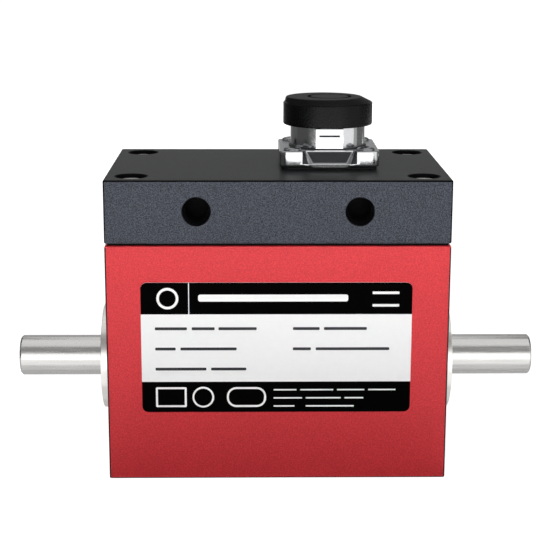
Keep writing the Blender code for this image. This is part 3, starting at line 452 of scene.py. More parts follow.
def turned_metal(name, colour, roughness, pitch_mm, axis="X", metallic=1.0, mark=0.12, wear=1.0):
    """Metal with the fine rings that a turning or grinding tool leaves round the shaft, or round Z."""
    finish, tree, shader, place = new_finish(name, Metallic=metallic)
    # The marks run round the axis: a side has them along it, and a face on the shaft has rings.
    centre = (0, 0, -shaft_height / 1000) if axis == "X" else (0, 0, 0)
    centred = add_node(
        tree, "VectorMath", {"operation": "ADD", 1: centre}, {0: place}
    ).outputs["Vector"]
    part = add_node(tree, "SeparateXYZ", {}, {"Vector": centred}).outputs
    along = {"X": part[axis]}
    if axis == "X":
        sideways = add_node(
            tree, "VectorMath", {"operation": "MULTIPLY", 1: (0, 1, 1)}, {0: centred}
        ).outputs["Vector"]
        along["Y"] = add_node(
            tree, "VectorMath", {"operation": "LENGTH"}, {0: sideways}
        ).outputs["Value"]
    ring_place = add_node(tree, "CombineXYZ", {}, along).outputs["Vector"]
    rings = add_node(
        tree, "VectorMath", {"operation": "SCALE", "Scale": 1000 / pitch_mm}, {0: ring_place}
    ).outputs["Vector"]
    marks = add_node(
        tree, "TexNoise", {"Scale": 1.0, "Detail": 3.0, "Roughness": 0.6}, {"Vector": rings}
    ).outputs["Fac"]
    # Handling leaves faint scratches along the axis, about 6 mm long and 0.4 mm wide.
    rubbed = add_node(
        tree,
        "VectorMath",
        {"operation": "MULTIPLY", 1: [160 if letter == axis else 2500 for letter in "XYZ"]},
        {0: place},
    ).outputs["Vector"]
    stains = add_node(
        tree, "TexNoise", {"Scale": 1.0, "Detail": 4.0}, {"Vector": rubbed}
    ).outputs["Fac"]
    tone = add_node(
        tree,
        "MapRange",
        {"From Min": 0.3, "From Max": 0.7, "To Min": 1 - 0.08 * wear, "To Max": 1 + 0.05 * wear},
        {"Value": stains},
    ).outputs["Result"]
    colour = add_node(
        tree, "HueSaturation", {"Color": linear(colour)}, {"Value": tone}
    ).outputs["Color"]
    gloss = add_node(
        tree,
        "MapRange",
        {
            "From Min": 0.3,
            "From Max": 0.7,
            "To Min": roughness * (1 - 0.25 * wear),
            "To Max": roughness * (1 + 0.25 * wear),
        },
        {"Value": stains},
    ).outputs["Result"]
    bump = add_node(
        tree, "Bump", {"Strength": mark, "Distance": 0.00002}, {"Height": marks}
    ).outputs["Normal"]
    bump = add_node(
        tree, "Bump", {"Strength": 0.12 * wear, "Distance": 0.00003}, {"Height": stains, "Normal": bump}
    ).outputs["Normal"]
    link(tree, shader, {"Base Color": colour, "Roughness": gloss, "Normal": bump})
    return finish


def hexagon(across_flats, bottom, top):
    """A six-sided bar, as the key that presses a screw's socket."""
    return rod((0, 0, bottom), (0, 0, top), across_flats / 2 / math.cos(math.pi / 6), steps=6)


# Cold-formed and tumbled, the screws have a dull, pale sheen.
stainless = turned_metal("cold_formed_stainless_steel", "#DAD8D2", 0.5, 0.3, axis="Z", metallic=0.55)
head = [(0, 63.92), (2.45, 63.92), (2.65, 63.84), (2.75, 63.65), (2.75, 61.3), (2.65, 61.1)]
shank = [(1.6, 61.1), (1.45, 60.9), (1.45, 45.3), (1.15, 45.1), (0, 45.1)]
for number, (x, y) in enumerate(lid_screws, 1):
    screw = machined(turned(head + shank, 48), [hexagon(2.5, 62.2, 65)])
    # A knurl keeps the head from slipping. It has 24 ridges, coarser than the real one, to show.
    for vert in screw.verts:
        if vert.co.xy.length > 2.74 and 61.2 < vert.co.z < 63.5:
            angle = math.atan2(vert.co.y, vert.co.x)
            vert.co.xy *= 1 - 0.02 * (1 + math.cos(24 * angle)) / 2
    add_piece(
        f"cap_screw_{number}",
        moved(screw, x, y),
        stainless,
        "housing",
        [f"lid_screw_{number}"],
    )


# Shaft: one turned bar of steel, ground along its sides. Its two ends stand out for couplings and are
# faced and chamfered, and its necked middle twists under load.

on_shaft = Matrix.Rotation(math.pi / 2, 4, "Y")
# Grinding leaves bright bands along the bar, under marks almost too fine to see.
ground_steel = turned_metal("cylindrically_ground_steel", "#D1D0CE", 0.24, 0.12, mark=0.1, wear=0.9)
end = [(0, 57.5), (3.95, 57.5), (4.1, 57.47), (4.44, 57.13), (4.5, 57.0)]
first_seat = [(4.5, 28.3), (6.2, 28.3), (6.2, 25.3)]
waist = [(4.7, 25.3), (3.85, 24.95), (3.5, 24.1), (3.5, 3.9), (3.85, 3.05), (4.7, 2.7)]
collar = [(6.3, 2.7), (6.3, -2.3)]
second_seat = [(5, -2.3), (5, -28.3), (4.5, -28.3)]
other_end = [(radius, -along) for radius, along in reversed(end)]
bar = turned(end + first_seat + waist + collar + second_seat + other_end, 128)
piece = add_piece(
    "shaft_bar",
    moved(bar, z=shaft_height, turn=on_shaft),
    ground_steel,
    "shaft",
    ["torque_shaft"],
)
# The ends are only faced, so they keep the rings of the cut.
faced_steel = turned_metal("faced_steel_end", "#D1D0CE", 0.3, 0.25, mark=0.35, wear=0.15)
refinish_faces(
    piece, faced_steel, lambda spot, normal: abs(normal.x) > 0.9 and abs(spot.x) > 57
)


# Strain gauges: two, of copper-nickel foil on polyimide film, bonded on opposite sides of the shaft's
# neck. They keep their CAD shape and get the film's amber colour and the foil's zigzag.

# The film is a clear amber, and the foil in it runs to and fro every 0.45 mm as a grey line.
gauge_film, tree, shader, place = new_finish("polyimide_gauge_film", Roughness=0.35)
zigzag = add_node(
    tree, "TexWave", {"bands_direction": "Z", "Scale": 700.0, "Distortion": 0.0}, {"Vector": place}
).outputs["Fac"]
foil = add_node(tree, "Math", {"operation": "GREATER_THAN", 1: 0.6}, {0: zigzag}).outputs["Value"]
colour = add_node(
    tree, "Mix", {"data_type": "RGBA", 6: linear("#C98A2E"), 7: linear("#8F8A80")}, {0: foil}
).outputs[2]
link(tree, shader, {"Base Color": colour, "Metallic": foil})


def refinish(node, finish):
    """Gives a CAD node that keeps its shape a better finish."""
    nodes[node].data.materials.clear()
    nodes[node].data.materials.append(finish)


for side in ("front", "back"):
    refinish(f"strain_gauge_{side}", gauge_film)


# Ball bearings: two, deep-groove, with rings and balls of hardened, lapped steel and cages pressed from
# brass. The rings are pressed into the housing and onto the shaft, and all keep their CAD shape.

# Lapping brings the steel close to a mirror, while the pressed brass keeps its soft yellow gloss.
lapped_steel = turned_metal("lapped_bearing_steel", "#D2D2D4", 0.12, 0.1, mark=0.04)
cage_brass = turned_metal("pressed_cage_brass", "#B8963F", 0.35, 0.6, mark=0.1)
for side in ("left", "right"):
    for ring in ("outer", "inner"):
        refinish(f"{side}_bearing_{ring}_ring", lapped_steel)
    refinish(f"{side}_bearing_cage", cage_brass)
    for number in range(1, 8):
        refinish(f"{side}_bearing_ball_{number}", lapped_steel)


# Bearing covers: two, turned from bare aluminium and pressed into the bores over the bearings. Each has
# a faced front, a fine chamfer and two holes for a pin spanner.

# Aluminium straight from the lathe is bright and pale, with fine rings on its face.
bare_aluminium = turned_metal("turned_bare_aluminium", "#E2E1DD", 0.28, 0.25, mark=0.35, wear=0.15)
rim = [(4.95, 38.6), (11.6, 38.6), (11.75, 38.55), (11.8, 38.4), (11.8, 36.1)]
spigot = [(10, 36.1), (10, 34.5), (8.4, 34.5), (8.4, 35.1), (4.75, 35.1), (4.75, 38.4)]
for side, turn in (("left", -math.pi / 2), ("right", math.pi / 2)):
    holes = [rod((0, y, 37.2), (0, y, 39), 1, steps=32) for y in (-8.5, 8.5)]
    cover = machined(turned(rim + spigot, 128), holes)
    add_piece(
        f"{side}_cover",
        moved(cover, z=shaft_height, turn=Matrix.Rotation(turn, 4, "Y")),
        bare_aluminium,
        "housing",
        [f"{side}_bearing_cover"],
    )


# Slip rings: four, of turned and polished brass, pressed on a sleeve of glass-filled nylon that keeps
# them apart from the shaft. They keep their CAD shape.

# The glass makes the nylon matt and grey-black. Polishing gives the brass a warm, clear shine.
glass_filled = grained("glass_filled_nylon", "#202022", 0.5, 0.3)
ring_brass = turned_metal("polished_brass", "#C9A24E", 0.18, 0.15, mark=0.06)
refinish("slip_ring_sleeve", glass_filled)
for number in range(1, 5):
    refinish(f"slip_ring_{number}", ring_brass)


# Brushes and holder: a brush pressed from graphite powder for each ring, in a moulded holder that two
# small screws fix to the pocket's floor. They keep their CAD shape.

# Pressed graphite is dark grey, with a soft sheen over a fine grain.
graphite = grained("pressed_graphite", "#39393B", 0.45, 0.15)
refinish("brush_holder", glass_filled)
for number in range(1, 5):
    refinish(f"brush_{number}", graphite)
for number in (1, 2):
    refinish(f"holder_screw_{number}", stainless)


# Gasket: a flat sheet of black nitrile rubber, cut to the flange's outline with holes for the barrel and
# the screws, and squeezed between the socket and the lid.


def rounded_square(half, corner, z):
    """Points of a square with rounded corners about the socket's axis."""
    steps = 10
    points = []
    for quarter in range(4):
        start = quarter * math.pi / 2
        centre = Matrix.Rotation(start, 2) @ Vector((half - corner, half - corner))
        for i in range(steps + 1):
            angle = start + math.pi / 2 * i / steps
            points.append(
                (centre.x + corner * math.cos(angle), centre.y + corner * math.sin(angle), z)
            )
    return points


def lofted(layers):
    """A solid through closed outlines of equally many points, one above the other."""
    shape = bmesh.new()
    rings = [[shape.verts.new(point) for point in layer] for layer in layers]
    for lower, upper in zip(rings, rings[1:]):
        for i in range(len(lower)):
            j = (i + 1) % len(lower)
            shape.faces.new((lower[i], lower[j], upper[j], upper[i]))
    shape.faces.new(rings[0][::-1])
    shape.faces.new(rings[-1])
    return shape


def plate(half, corner, bottom, top, edge):
    """A square plate whose rims are rounded."""
    angles = [math.pi / 8 * i for i in range(5)]
    arc = [(edge * (1 - math.sin(a)), edge * (1 - math.cos(a))) for a in angles]
    layers = [rounded_square(half - inset, corner - inset, bottom + rise) for inset, rise in arc]
    layers += [rounded_square(half - inset, corner - inset, top - rise) for inset, rise in arc[::-1]]
    return lofted(layers)


flange_half, flange_bottom, flange_top = 10.7, 65.42, 68.8
screw_reach = 7.884
flange_screws = [(x, y) for x in (-screw_reach, screw_reach) for y in (-screw_reach, screw_reach)]
# Moulded nitrile rubber is nearly black and dull.
black_rubber = grained("black_nitrile_rubber", "#060607", 0.6, 0.5, Specular_IOR_Level=0.2)
gasket = machined(
    plate(flange_half - 0.45, 2, 64.75, 65.4, 0.1),
    [rod((0, 0, 64), (0, 0, 67), socket_hole, steps=96)]
    + [rod((x, y, 64), (x, y, 67), 1.3, steps=32) for x, y in flange_screws],
)
add_piece(
    "flange_gasket",
    moved(gasket, socket_x, socket_y),
    black_rubber,
    "housing",
    ["connector_gasket"],
)


# Socket shell: the socket's body, die-cast in zinc and bright chrome-plated. It has a square flange with
# a scooped front, a round shell with a latch pad in front, and a barrel that drops through the lid.

chrome, tree, shader, place = new_finish("chrome_plated_zinc_casting", Metallic=1.0)
# Plating is bright, but follows the casting's skin with its ripple of about 2 mm, and has a fine haze.
ripple = add_node(tree, "TexNoise", {"Scale": 500.0, "Detail": 2.0}, {"Vector": place}).outputs["Fac"]
haze = add_node(tree, "TexNoise", {"Scale": 1800.0, "Detail": 3.0}, {"Vector": place}).outputs["Fac"]
tone = add_node(tree, "MapRange", {"To Min": 0.92, "To Max": 1.04}, {"Value": haze}).outputs["Result"]
colour = add_node(tree, "HueSaturation", {"Color": linear("#D4D5D6")}, {"Value": tone}).outputs["Color"]
gloss = add_node(tree, "MapRange", {"To Min": 0.06, "To Max": 0.16}, {"Value": haze}).outputs["Result"]
bump = add_node(
    tree, "Bump", {"Strength": 0.12, "Distance": 0.0001}, {"Height": ripple}
).outputs["Normal"]
link(tree, shader, {"Base Color": colour, "Roughness": gloss, "Normal": bump})

shell_radius, bore_radius, shell_top = 8.15, 6.6, 77.8
collar_radius, collar_top = 8.5, flange_top + 0.3
pad_half, pad_front, pad_top = 3, -shell_radius - 0.9, 73.4
front = -flange_half
lip_top, scoop_top = 66.12, flange_top - 0.2
bend_start = 5.85


def scoop_depth(z):
    """How far the scoop's floor lies behind the flange's front at a height."""
    return 0.45 + 1.15 * (z - lip_top) / (scoop_top - lip_top)


def bend_end(z):
    """Where a bend meets the scoop's floor, sideways from the middle, at a height."""
    return 3.65 + 1.4 * min(1, max(0, (z - lip_top) / (scoop_top - lip_top)))


def flange_outline(z, inset, depth):
    """The flange's outline at a height. Its front runs back into the scoop in two soft bends."""
    points = rounded_square(flange_half - inset, 2 - inset, z)
    start, end = bend_start, bend_end(z)
    straight = flange_half - 2
    # The points keep to the bends at every height, so that the bends come out clean.
    side = [(start + (straight - start) * (1 - i / 4), 0) for i in range(1, 4)]
    side += [(start + (end - start) * i / 10, i / 10) for i in range(11)]
    side += [(end * (1 - i / 6), 1) for i in range(1, 6)]
    whole = [(-x, share) for x, share in side] + [(0, 1)] + side[::-1]
    bends = []
    for x, share in whole:
        soft = share * share * (3 - 2 * share)
        lip = min(1, max(0, (4.3 - abs(x)) / 0.5))
        bends.append((x, front + inset * (1 - lip) + depth * soft, z))
    half_way = len(points) * 3 // 4
    return points[:half_way] + bends + points[half_way:]


layers = [
    flange_outline(flange_bottom + 0.4 * (1 - math.cos(a)), 0.4 * (1 - math.sin(a)), 0)
    for a in [math.pi / 8 * i for i in range(5)]
]
layers.append(flange_outline(lip_top - 0.08, 0, 0))
layers.append(flange_outline(lip_top - 0.02, 0, 0.06))
layers += [
    flange_outline(z, 0, scoop_depth(z))
    for z in [lip_top + (scoop_top - lip_top) * i / 4 for i in range(5)]
]
layers += [
    flange_outline(scoop_top + 0.2 * math.sin(a), 0.2 * (1 - math.cos(a)), scoop_depth(flange_top))
    for a in [math.pi / 8 * i for i in range(1, 5)]
]
flange = lofted(layers)
# The scoop's floor has a sunk panel, narrower at the bottom.
panel = bmesh.new()
bmesh.ops.create_cube(panel, size=1)
for vert in panel.verts:
    z, reach = (scoop_top - 0.12, 4.75) if vert.co.z > 0 else (lip_top + 0.2, 3.55)
    back = front + scoop_depth(z) + 0.16 if vert.co.y > 0 else front - 1
    vert.co = (math.copysign(reach, vert.co.x), back, z)
barrel = [(0, 58.8), (7.3, 58.8), (7.3, 67.5)]
collar = [
    (collar_radius, 67.5),
    (collar_radius, collar_top - 0.1),
    (collar_radius - 0.1, collar_top),
    (shell_radius, collar_top),
]
mouth = [
    (shell_radius, shell_top - 0.35),
    (shell_radius - 0.1, shell_top - 0.1),
    (shell_radius - 0.35, shell_top),
    (0, shell_top),
]
low_bore = [(0, 57), (5.9, 57), (5.9, 59.8), (bore_radius, 59.8)]
bore_mouth = [(bore_radius, shell_top - 0.3), (bore_radius + 0.3, shell_top)]
over_bore = [(bore_radius + 0.3, 79), (0, 79)]
slot_half, slot_bottom, slot_top = 2.2, 71.66, 72.06
shell = machined(
    flange,
    joins=[
        turned(barrel + collar + mouth, 128),
        block((-pad_half, pad_front, collar_top), (pad_half, -7.4, pad_top), edge=0.12),
    ],
    cuts=[
        turned(low_bore + bore_mouth + over_bore, 128),
        panel,
        block((-slot_half, pad_front - 1, slot_bottom), (slot_half, pad_front + 0.8, slot_top)),
        *[rod((x, y, 65), (x, y, 70), 1.3, steps=32) for x, y in flange_screws],
    ],
)
# The latch slot, the collar, the sunk panel and the outer part of the scoop's bends are a dull dark
# grey. This is painted shade and painted dark reflection.
# The flange's top and the rest of the bends are satin.
recess_shade_finish = grained("zinc_painted_shade", "#26272A", 0.5, 0.35, tone=0.12, Metallic=0.4)
satin_chrome = turned_metal("satin_chrome_on_casting", "#A2A4A7", 0.3, 1.2, metallic=1.0, mark=0.3)
for face in shell.faces:
    spot = face.calc_center_median()
    in_slot = slot_bottom - 0.01 < spot.z < slot_top + 0.01 and abs(spot.x) < slot_half + 0.01
    in_slot = in_slot and pad_front + 0.02 < spot.y < pad_front + 0.81
    on_collar = flange_top + 0.01 < spot.z < collar_top + 0.01 and spot.xy.length > 8.2
    sunk = front + scoop_depth(spot.z) + 0.15
    on_panel = lip_top + 0.21 < spot.z < scoop_top - 0.13 and abs(spot.y - sunk) < 0.03
    on_top = abs(spot.z - flange_top) < 0.01
    bend_share = (bend_start - abs(spot.x)) / (bend_start - bend_end(spot.z))
    on_bend = lip_top < spot.z < flange_top and spot.y < -8.9 and 0 < bend_share < 1
    dull = in_slot or on_collar or on_panel or on_bend and bend_share < 0.65
    face.material_index = 1 if dull else 2 if on_top or on_bend else 0
piece = add_piece(
    "socket_body",
    moved(shell, socket_x, socket_y),
    chrome,
    "housing",
    ["connector_shell"],
)
piece.data.materials.append(recess_shade_finish)
piece.data.materials.append(satin_chrome)


# Flange screws: four small pan-head screws of cold-formed stainless steel hold the flange and its gasket
# to the lid.
# Each has a hexagon recess.

# Painted reflection: the steel is a darker, even grey than bare stainless, in place of the dark cap and
# shell that the heads reflect.
shaded_screw_steel = turned_metal("stainless_steel_painted_shade", "#9A9B9D", 0.3, 0.3, axis="Z")
head = [(0, 69.5), (1.0, 69.48), (1.5, 69.38), (1.78, 69.2), (1.9, 68.98), (1.9, 68.84)]
shank = [(1.2, 68.84), (1.2, 61.5), (1.0, 61.3), (0, 61.3)]
for number, (x, y) in enumerate(flange_screws, 1):
    screw = machined(turned(head + shank, 48), [hexagon(1.4, 68.95, 71)])
    add_piece(
        f"pan_screw_{number}",
        moved(screw, socket_x + x, socket_y + y),
        shaded_screw_steel,
        "housing",
        [f"flange_screw_{number}"],
    )


# Contacts: an insert moulded in glass-filled nylon at the bottom of the socket, which keeps its CAD
# shape, and five turned, gold-plated brass pins pressed through it.

# Thin gold over turned brass has a smooth, warm shine.
gilt = turned_metal("gold_plated_brass", "#E3BF6A", 0.16, 0.2, axis="Z", mark=0.05)
refinish("connector_insert", glass_filled)
pin_tip = [(0, 73.1), (0.3, 73.07), (0.6, 72.85), (0.75, 72.45)]
pin_foot = [(0.75, 57.5), (0.65, 57.4), (0, 57.4)]
pin_circle = 3.8
for number in range(1, 6):
    angle = 2 * math.pi * (number - 1) / 5
    x, y = pin_circle * math.sin(angle), pin_circle * math.cos(angle)
    add_piece(
        f"contact_pin_{number}",
        moved(turned(pin_tip + pin_foot, 32), socket_x + x, socket_y + y),
        gilt,
        "housing",
        [f"connector_pin_{number}"],
    )


# Dust cap: moulded in matt black ABS and pushed over the shell. Its top has an off-centre step and a
# ring groove, and a rubber seal lies in its ceiling.


def circle(radius, z, offset=0.0):
    """Points of a circle about the socket's axis, or beside it."""
    steps = 128
    angles = [2 * math.pi * i / steps for i in range(steps)]
    return [(offset + radius * math.cos(a), radius * math.sin(a), z) for a in angles]


cap_radius, cap_rim, cap_top = 9.75, 73.5, 79.5
cap_layers = [
    circle(cap_radius - 0.35, cap_rim),
    circle(cap_radius - 0.1, cap_rim + 0.1),
    circle(cap_radius, cap_rim + 0.35),
    circle(cap_radius, 78.1),
    circle(cap_radius - 0.08, 78.3),
    circle(cap_radius - 0.3, 78.45),
    circle(8.45, 79.3, -0.75),
    circle(8.25, 79.45, -0.8),
    circle(8.0, cap_top, -0.8),
]
groove = [(4.2, 79.05), (4.75, 79.05), (4.95, 80), (4.05, 80)]
cap = machined(
    lofted(cap_layers),
    [rod((0, 0, 72), (0, 0, 78.5), 8.35, steps=96), moved(turned(groove), 0.35)],
)
# The mould's spark-eroded side gives the plastic a deep black with a soft sheen.
matt_black = grained(
    "matt_black_abs", "#020203", 0.27, 0.34, sheen=0.1, depth=1.5, Specular_IOR_Level=0.13
)
piece = add_piece(
    "cap_moulding", moved(cap, socket_x, socket_y), matt_black, "cap", ["dust_cap"]
)
# The mould's end wall is spark-eroded more coarsely, so the top is duller than the side.
coarse_black = grained(
    "coarse_matt_black_abs", "#060607", 0.5, 0.3, depth=0.6, Specular_IOR_Level=0.1
)
refinish_faces(piece, coarse_black, lambda spot, normal: normal.z > 0.3 and spot.z > 78.4)
refinish("cap_seal", black_rubber)


# Label: a plate of white polyester film, screen-printed black and pale grey and stuck to the front of
# the block. It carries plain fields, lines and simple shapes.

to_front = Matrix.Rotation(math.pi / 2, 4, "X")
label_left, label_top_z, label_face = -28.65, 43.3, 23.4
label_width, label_height, label_corner, film, ink = 56.7, 28.2, 1.3, 0.3, 0.012
header, footer = 6.8, 21.5


def outline(left, top, right, bottom, corners=(0, 0, 0, 0)):
    """A rectangle in mm from the label's upper left corner, with a radius at each corner in turn."""
    steps = 6
    signs = ((1, 1), (-1, 1), (-1, -1), (1, -1))
    points = []
    for quarter, (sx, sy) in enumerate(signs):
        r = max(corners[quarter], 0.001)
        x = (left if sx < 0 else right) - sx * r
        y = -(top if sy > 0 else bottom) - sy * r
        for i in range(steps + 1):
            angle = math.pi / 2 * (quarter + i / steps)
            points.append((x + r * math.cos(angle), y + r * math.sin(angle)))
    return points


def field(points, height, thickness=ink, hole=None):
    """A flat field of print, raised by its ink's thickness, with a hole of as many points if given."""
    shape = bmesh.new()
    low = [shape.verts.new((x, y, height)) for x, y in points]
    high = [shape.verts.new((x, y, height + thickness)) for x, y in points]
    count = len(points)
    for i in range(count):
        j = (i + 1) % count
        shape.faces.new((low[i], low[j], high[j], high[i]))
    if hole:
        low_in = [shape.verts.new((x, y, height)) for x, y in hole]
        high_in = [shape.verts.new((x, y, height + thickness)) for x, y in hole]
        for i in range(count):
            j = (i + 1) % count
            shape.faces.new((low_in[j], low_in[i], high_in[i], high_in[j]))
            shape.faces.new((high[i], high[j], high_in[j], high_in[i]))
            shape.faces.new((low[j], low[i], low_in[i], low_in[j]))
    else:
        shape.faces.new(low[::-1])
        shape.faces.new(high)
    return shape


def add_print(name, shapes, finish, replaced=()):
    """Puts print on the label's face."""
    whole = moved(together(*shapes), label_left, -label_face, label_top_z, turn=to_front)
    add_piece(name, whole, finish, "housing", replaced)


# Film and screen ink are flat, clean white, black and grey, with a slight orange peel about 1 mm wide.
coat = {"grain_mm": 1.1, "tone": 0.008, "sheen": 0.02, "depth": 0.02}
label_white = grained("white_polyester_film", "#F2F2F2", 0.38, **coat)
ink_black = grained("black_screen_ink", "#010101", 0.6, **coat, Specular_IOR_Level=0.012)
ink_grey = grained("pale_grey_screen_ink", "#F3F3F3", 0.4, **coat, Specular_IOR_Level=0.3)
ink_white = grained("white_screen_ink", "#F5F5F5", 0.4, **coat, Specular_IOR_Level=0.3)
ink_text = grained("dark_screen_ink", "#16181C", 0.4, **coat, Specular_IOR_Level=0.3)
whole_label = outline(0, 0, label_width, label_height, (label_corner,) * 4)
add_print("label_film_plate", [field(whole_label, -film, film)], label_white, ["rating_label"])
bands = [
    outline(0, 0, label_width, header, (label_corner, label_corner, 0, 0)),
    outline(0, footer, label_width, label_height, (0, 0, label_corner, label_corner)),
]
add_print("label_black_bands", [field(band, 0) for band in bands], ink_black)
panel = outline(0.28, header + 0.32, label_width - 0.28, footer - 0.2)
add_print("label_grey_panel", [field(panel, 0)], ink_grey)


def bars(rows, weight):
    """Rows of plain bars: each row gives its middle height and the ends of its bars."""
    ends = weight * 0.3
    return [
        outline(start, y - weight / 2, stop, y + weight / 2, (ends,) * 4)
        for y, *spans in rows
        for start, stop in spans
    ]


data_rows = [
    (9.9, (2.9, 9.6), (10.6, 15.4), (16.2, 24.2), (31.8, 37.4), (38.3, 47.3)),
    (14.3, (2.9, 7.2), (8.2, 20.0), (31.8, 35.6), (36.6, 52.1)),
    (18.7, (2.9, 13.6), (14.6, 22.0)),
]
add_print("label_data_bars", [field(bar, ink) for bar in bars(data_rows, 0.62)], ink_text)


def label_circle(x, y, radius):
    """Points of a circle on the label."""
    steps = 48
    angles = [2 * math.pi * i / steps for i in range(steps)]
    return [(x + radius * math.cos(a), -y + radius * math.sin(a)) for a in angles]


white = [outline(9.95, 0, 10.12, header)]
white += bars([(3.3, (12.0, 43.3))], 1.5)
white += bars([(2.2, (48.4, 54.0)), (4.9, (48.4, 54.0))], 0.55)
small_rows = [
    (23.3, (27.8, 32.6), (33.4, 40.4), (41.2, 47.0), (47.8, 53.6)),
    (25.1, (27.8, 33.8), (34.6, 42.0), (42.8, 46.8)),
    (26.9, (27.8, 32.2), (34.6, 44.8)),
]
white += bars(small_rows, 0.3)
shapes = [field(points, ink) for points in white]
for x, y, outer, inner in ((5.6, 3.4, 2.3, 1.75), (12.9, 24.9, 2.3, 1.9)):
    shapes.append(field(label_circle(x, y, outer), ink, hole=label_circle(x, y, inner)))
line = 0.42
for left, right, radius in ((2.9, 9.4, 0.3), (17.9, 26.2, 2.0)):
    outer = outline(left, 22.7, right, 27.1, (radius,) * 4)
    corner = max(radius - line, 0.05)
    inner = outline(left + line, 22.7 + line, right - line, 27.1 - line, (corner,) * 4)
    shapes.append(field(outer, ink, hole=inner))
add_print("label_white_print", shapes, ink_white)


# Floor and light: a plain pale floor that rises into a backdrop, a softbox in front and others for the
# sides and the back, and cards around the object for its metal to reflect, as in a product studio.


def shown_directly(tree):
    """1 where the camera, a reflection or a look through glass meets a surface, and otherwise 0."""
    seen = add_node(tree, "LightPath", {}).outputs
    shown = seen["Is Camera Ray"]
    for kind in ("Is Glossy Ray", "Is Transmission Ray"):
        shown = add_node(
            tree, "Math", {"operation": "MAXIMUM"}, {0: shown, 1: seen[kind]}
        ).outputs["Value"]
    return shown


floor_paint, tree, shader, _ = new_finish("pale_studio_floor")
tree.nodes.remove(shader)
paint = add_node(tree, "BsdfDiffuse", {"Color": linear("#BFBFBF")}).outputs["BSDF"]
shaded = add_node(tree, "BsdfDiffuse", {"Color": linear("#A2A2A2")}).outputs["BSDF"]
glow = add_node(tree, "Emission", {"Color": linear("#FFFFFF"), "Strength": 0.92}).outputs["Emission"]
bright = add_node(tree, "AddShader", {}, {0: shaded, 1: glow}).outputs["Shader"]
mixed = add_node(
    tree, "MixShader", {}, {0: shown_directly(tree), 1: paint, 2: bright}
).outputs["Shader"]
link(tree, tree.nodes["Material Output"], {"Surface": mixed})

sweep = bmesh.new()
front_end, wall, wall_top, bend, half_width = -3.0, 2.0, 3.0, 0.8, 4.0
profile = [(front_end, 0.0), (wall - bend, 0.0)]
for angle in [math.pi / 2 * i / 12 for i in range(1, 13)]:
    profile.append((wall - bend + bend * math.sin(angle), bend - bend * math.cos(angle)))
profile.append((wall, wall_top))
rails = [[sweep.verts.new((x, y, z)) for y, z in profile] for x in (-half_width, half_width)]
for i in range(len(profile) - 1):
    sweep.faces.new((rails[0][i], rails[1][i], rails[1][i + 1], rails[0][i + 1]))
sweep_mesh = bpy.data.meshes.new("studio_sweep")
sweep.to_mesh(sweep_mesh)
sweep.free()
sweep_mesh.materials.append(floor_paint)
sweep_mesh.polygons.foreach_set("use_smooth", [True] * len(sweep_mesh.polygons))
floor = bpy.data.objects.new("studio_sweep", sweep_mesh)
floor.location.z = -0.0002
bpy.context.scene.collection.objects.link(floor)


def add_softbox(name, middle, aim, width, height, radiance, spread=180):
    """A rectangular light that faces a point, as strong as a card of that brightness, and isn't seen."""
    lamp = bpy.data.lights.new(name, "AREA")
    lamp.shape = "RECTANGLE"
    lamp.size, lamp.size_y = width, height
    lamp.energy = radiance * math.pi * width * height
    lamp.spread = math.radians(spread)
    box = bpy.data.objects.new(name, lamp)
    box.location = middle
    box.rotation_euler = (Vector(aim) - Vector(middle)).to_track_quat("-Z", "Y").to_euler()
    bpy.context.scene.collection.objects.link(box)
    box.visible_camera = box.visible_glossy = False


def add_card(name, corners, level):
    """A flat studio card through four corners, seen only in reflections, as bright as level."""
    finish = bpy.data.materials.new(name)
    finish.use_nodes = True
    tree = finish.node_tree
    tree.nodes.remove(tree.nodes["Principled BSDF"])
    face = add_node(tree, "Emission", {"Strength": level}).outputs["Emission"]
    link(tree, tree.nodes["Material Output"], {"Surface": face})
    mesh = bpy.data.meshes.new(name)
    mesh.from_pydata(corners, [], [(0, 1, 2, 3)])
    mesh.materials.append(finish)
    card = bpy.data.objects.new(name, mesh)
    bpy.context.scene.collection.objects.link(card)
    card.visible_camera = card.visible_diffuse = card.visible_shadow = False


def standing(start, end, bottom, top):
    """The corners of an upright card over a line on the floor."""
    return [(*start, bottom), (*end, bottom), (*end, top), (*start, top)]


def lying(left, right, front, back):
    """The corners of a card that lies level, just above the floor."""
    height = 0.0006
    return [(left, front, height), (right, front, height), (right, back, height), (left, back, height)]


add_softbox("key_softbox", (-0.02, -0.3, 0.14), (0, -0.02, 0.085), 0.3, 0.08, 1.7, spread=45)
for name, place in (
    ("left", (-0.6, 0.05, 0.1)),
    ("right", (0.6, 0.05, 0.1)),
    ("back", (0, 0.7, 0.1)),
):
    add_softbox(f"{name}_fill_softbox", place, (0, 0.02, 0.035), 0.5, 0.4, 2.6)
# In front, cards on the table and at eye level brighten the socket's chrome, the shaft and the block.
add_card("front_card", standing((-0.25, -0.335), (0.25, -0.335), 0, 0.15), 1.8)
add_card("far_table_card", lying(-0.3, 0.3, -0.33, -0.17), 3.8)
add_card("table_card", lying(-0.3, 0.3, -0.17, -0.08), 1.6)
add_card("near_card", lying(-0.037, 0.037, -0.08, -0.022), 0.4)
add_card("near_left_card", lying(-0.3, -0.037, -0.08, -0.022), 1.25)
add_card("near_right_card", lying(0.037, 0.3, -0.08, -0.022), 1.25)
add_card("under_front_card", lying(-0.12, 0.12, -0.022, -0.006), 0.8)
add_card("under_card", lying(-0.12, 0.12, -0.006, 0.06), 0.6)
add_card("upper_flag", standing((-0.5, -0.34), (0.5, -0.34), 0.155, 0.66), 0.36)
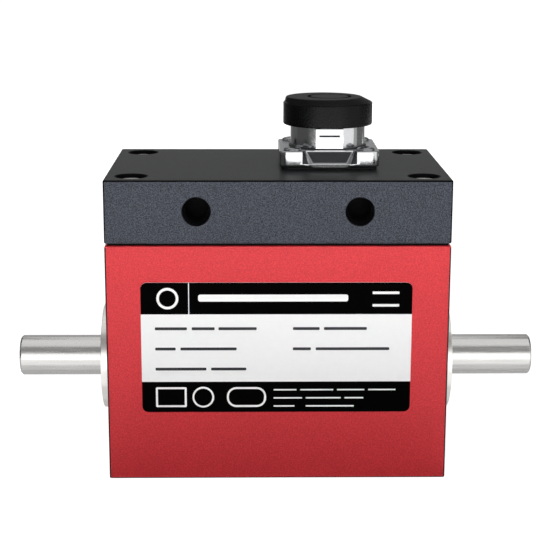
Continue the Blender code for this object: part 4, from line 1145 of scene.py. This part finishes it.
# Round the sides and the back they are dark or grey, and draw the dark bands in round metal.
add_card("left_near_card", standing((-0.26, -0.335), (-0.36, -0.22), 0, 0.9), 0.12)
add_card("left_card", standing((-0.36, -0.22), (-0.36, 0.14), 0, 0.1), 0.09)
add_card("left_upper_card", standing((-0.36, -0.22), (-0.36, 0.14), 0.1, 0.9), 0.5)
add_card("left_floor_card", lying(-0.36, -0.14, -0.02, 0.4), 0.12)
add_card("left_back_card", standing((-0.36, 0.14), (-0.36, 0.4), 0, 0.9), 0.12)
add_card("back_left_card", standing((-0.36, 0.4), (-0.16, 0.4), 0, 0.9), 0.14)
add_card("back_card", standing((-0.16, 0.4), (0.16, 0.4), 0, 0.4), 0.48)
add_card("back_right_card", standing((0.16, 0.4), (0.36, 0.4), 0, 0.9), 0.2)
add_card("right_near_card", standing((0.26, -0.335), (0.36, -0.03), 0, 0.3), 1.1)
add_card("right_middle_card", standing((0.36, -0.03), (0.36, 0.06), 0, 0.9), 0.45)
add_card("right_card", standing((0.36, 0.06), (0.36, 0.4), 0, 0.9), 0.15)

world = bpy.data.worlds.new("studio")
bpy.context.scene.world = world
world.use_nodes = True
tree = world.node_tree
room = tree.nodes["Background"]
room.inputs["Color"].default_value = linear("#FFFFFF")
level = add_node(
    tree, "MapRange", {"To Min": 0.33, "To Max": 1.0}, {"Value": shown_directly(tree)}
).outputs["Result"]
link(tree, room, {"Strength": level})


# Camera: it stands in front, a little left of the middle and above the lid, and looks 13 degrees down.
# Its frame is the photograph's, 550 pixels wide and high.

lens = bpy.data.cameras.new("camera")
focal_px, frame_px = 1435.0, 550
lens.sensor_width = 36
lens.lens = focal_px / frame_px * lens.sensor_width
lens.clip_start, lens.clip_end = 0.01, 20
camera = bpy.data.objects.new("camera", lens)
pitch, yaw, roll = math.radians(13.115), math.radians(-0.94), math.radians(0.15)
level_camera = Matrix.Rotation(math.pi / 2, 4, "X")
camera.matrix_world = (
    Matrix.Translation((-0.0054, -0.3136, 0.11255))
    @ Matrix.Rotation(yaw, 4, "Z")
    @ level_camera
    @ Matrix.Rotation(-pitch, 4, "X")
    @ Matrix.Rotation(roll, 4, "Z")
)
bpy.context.scene.collection.objects.link(camera)
bpy.context.scene.camera = camera
bpy.context.scene.view_settings.view_transform = "Standard"
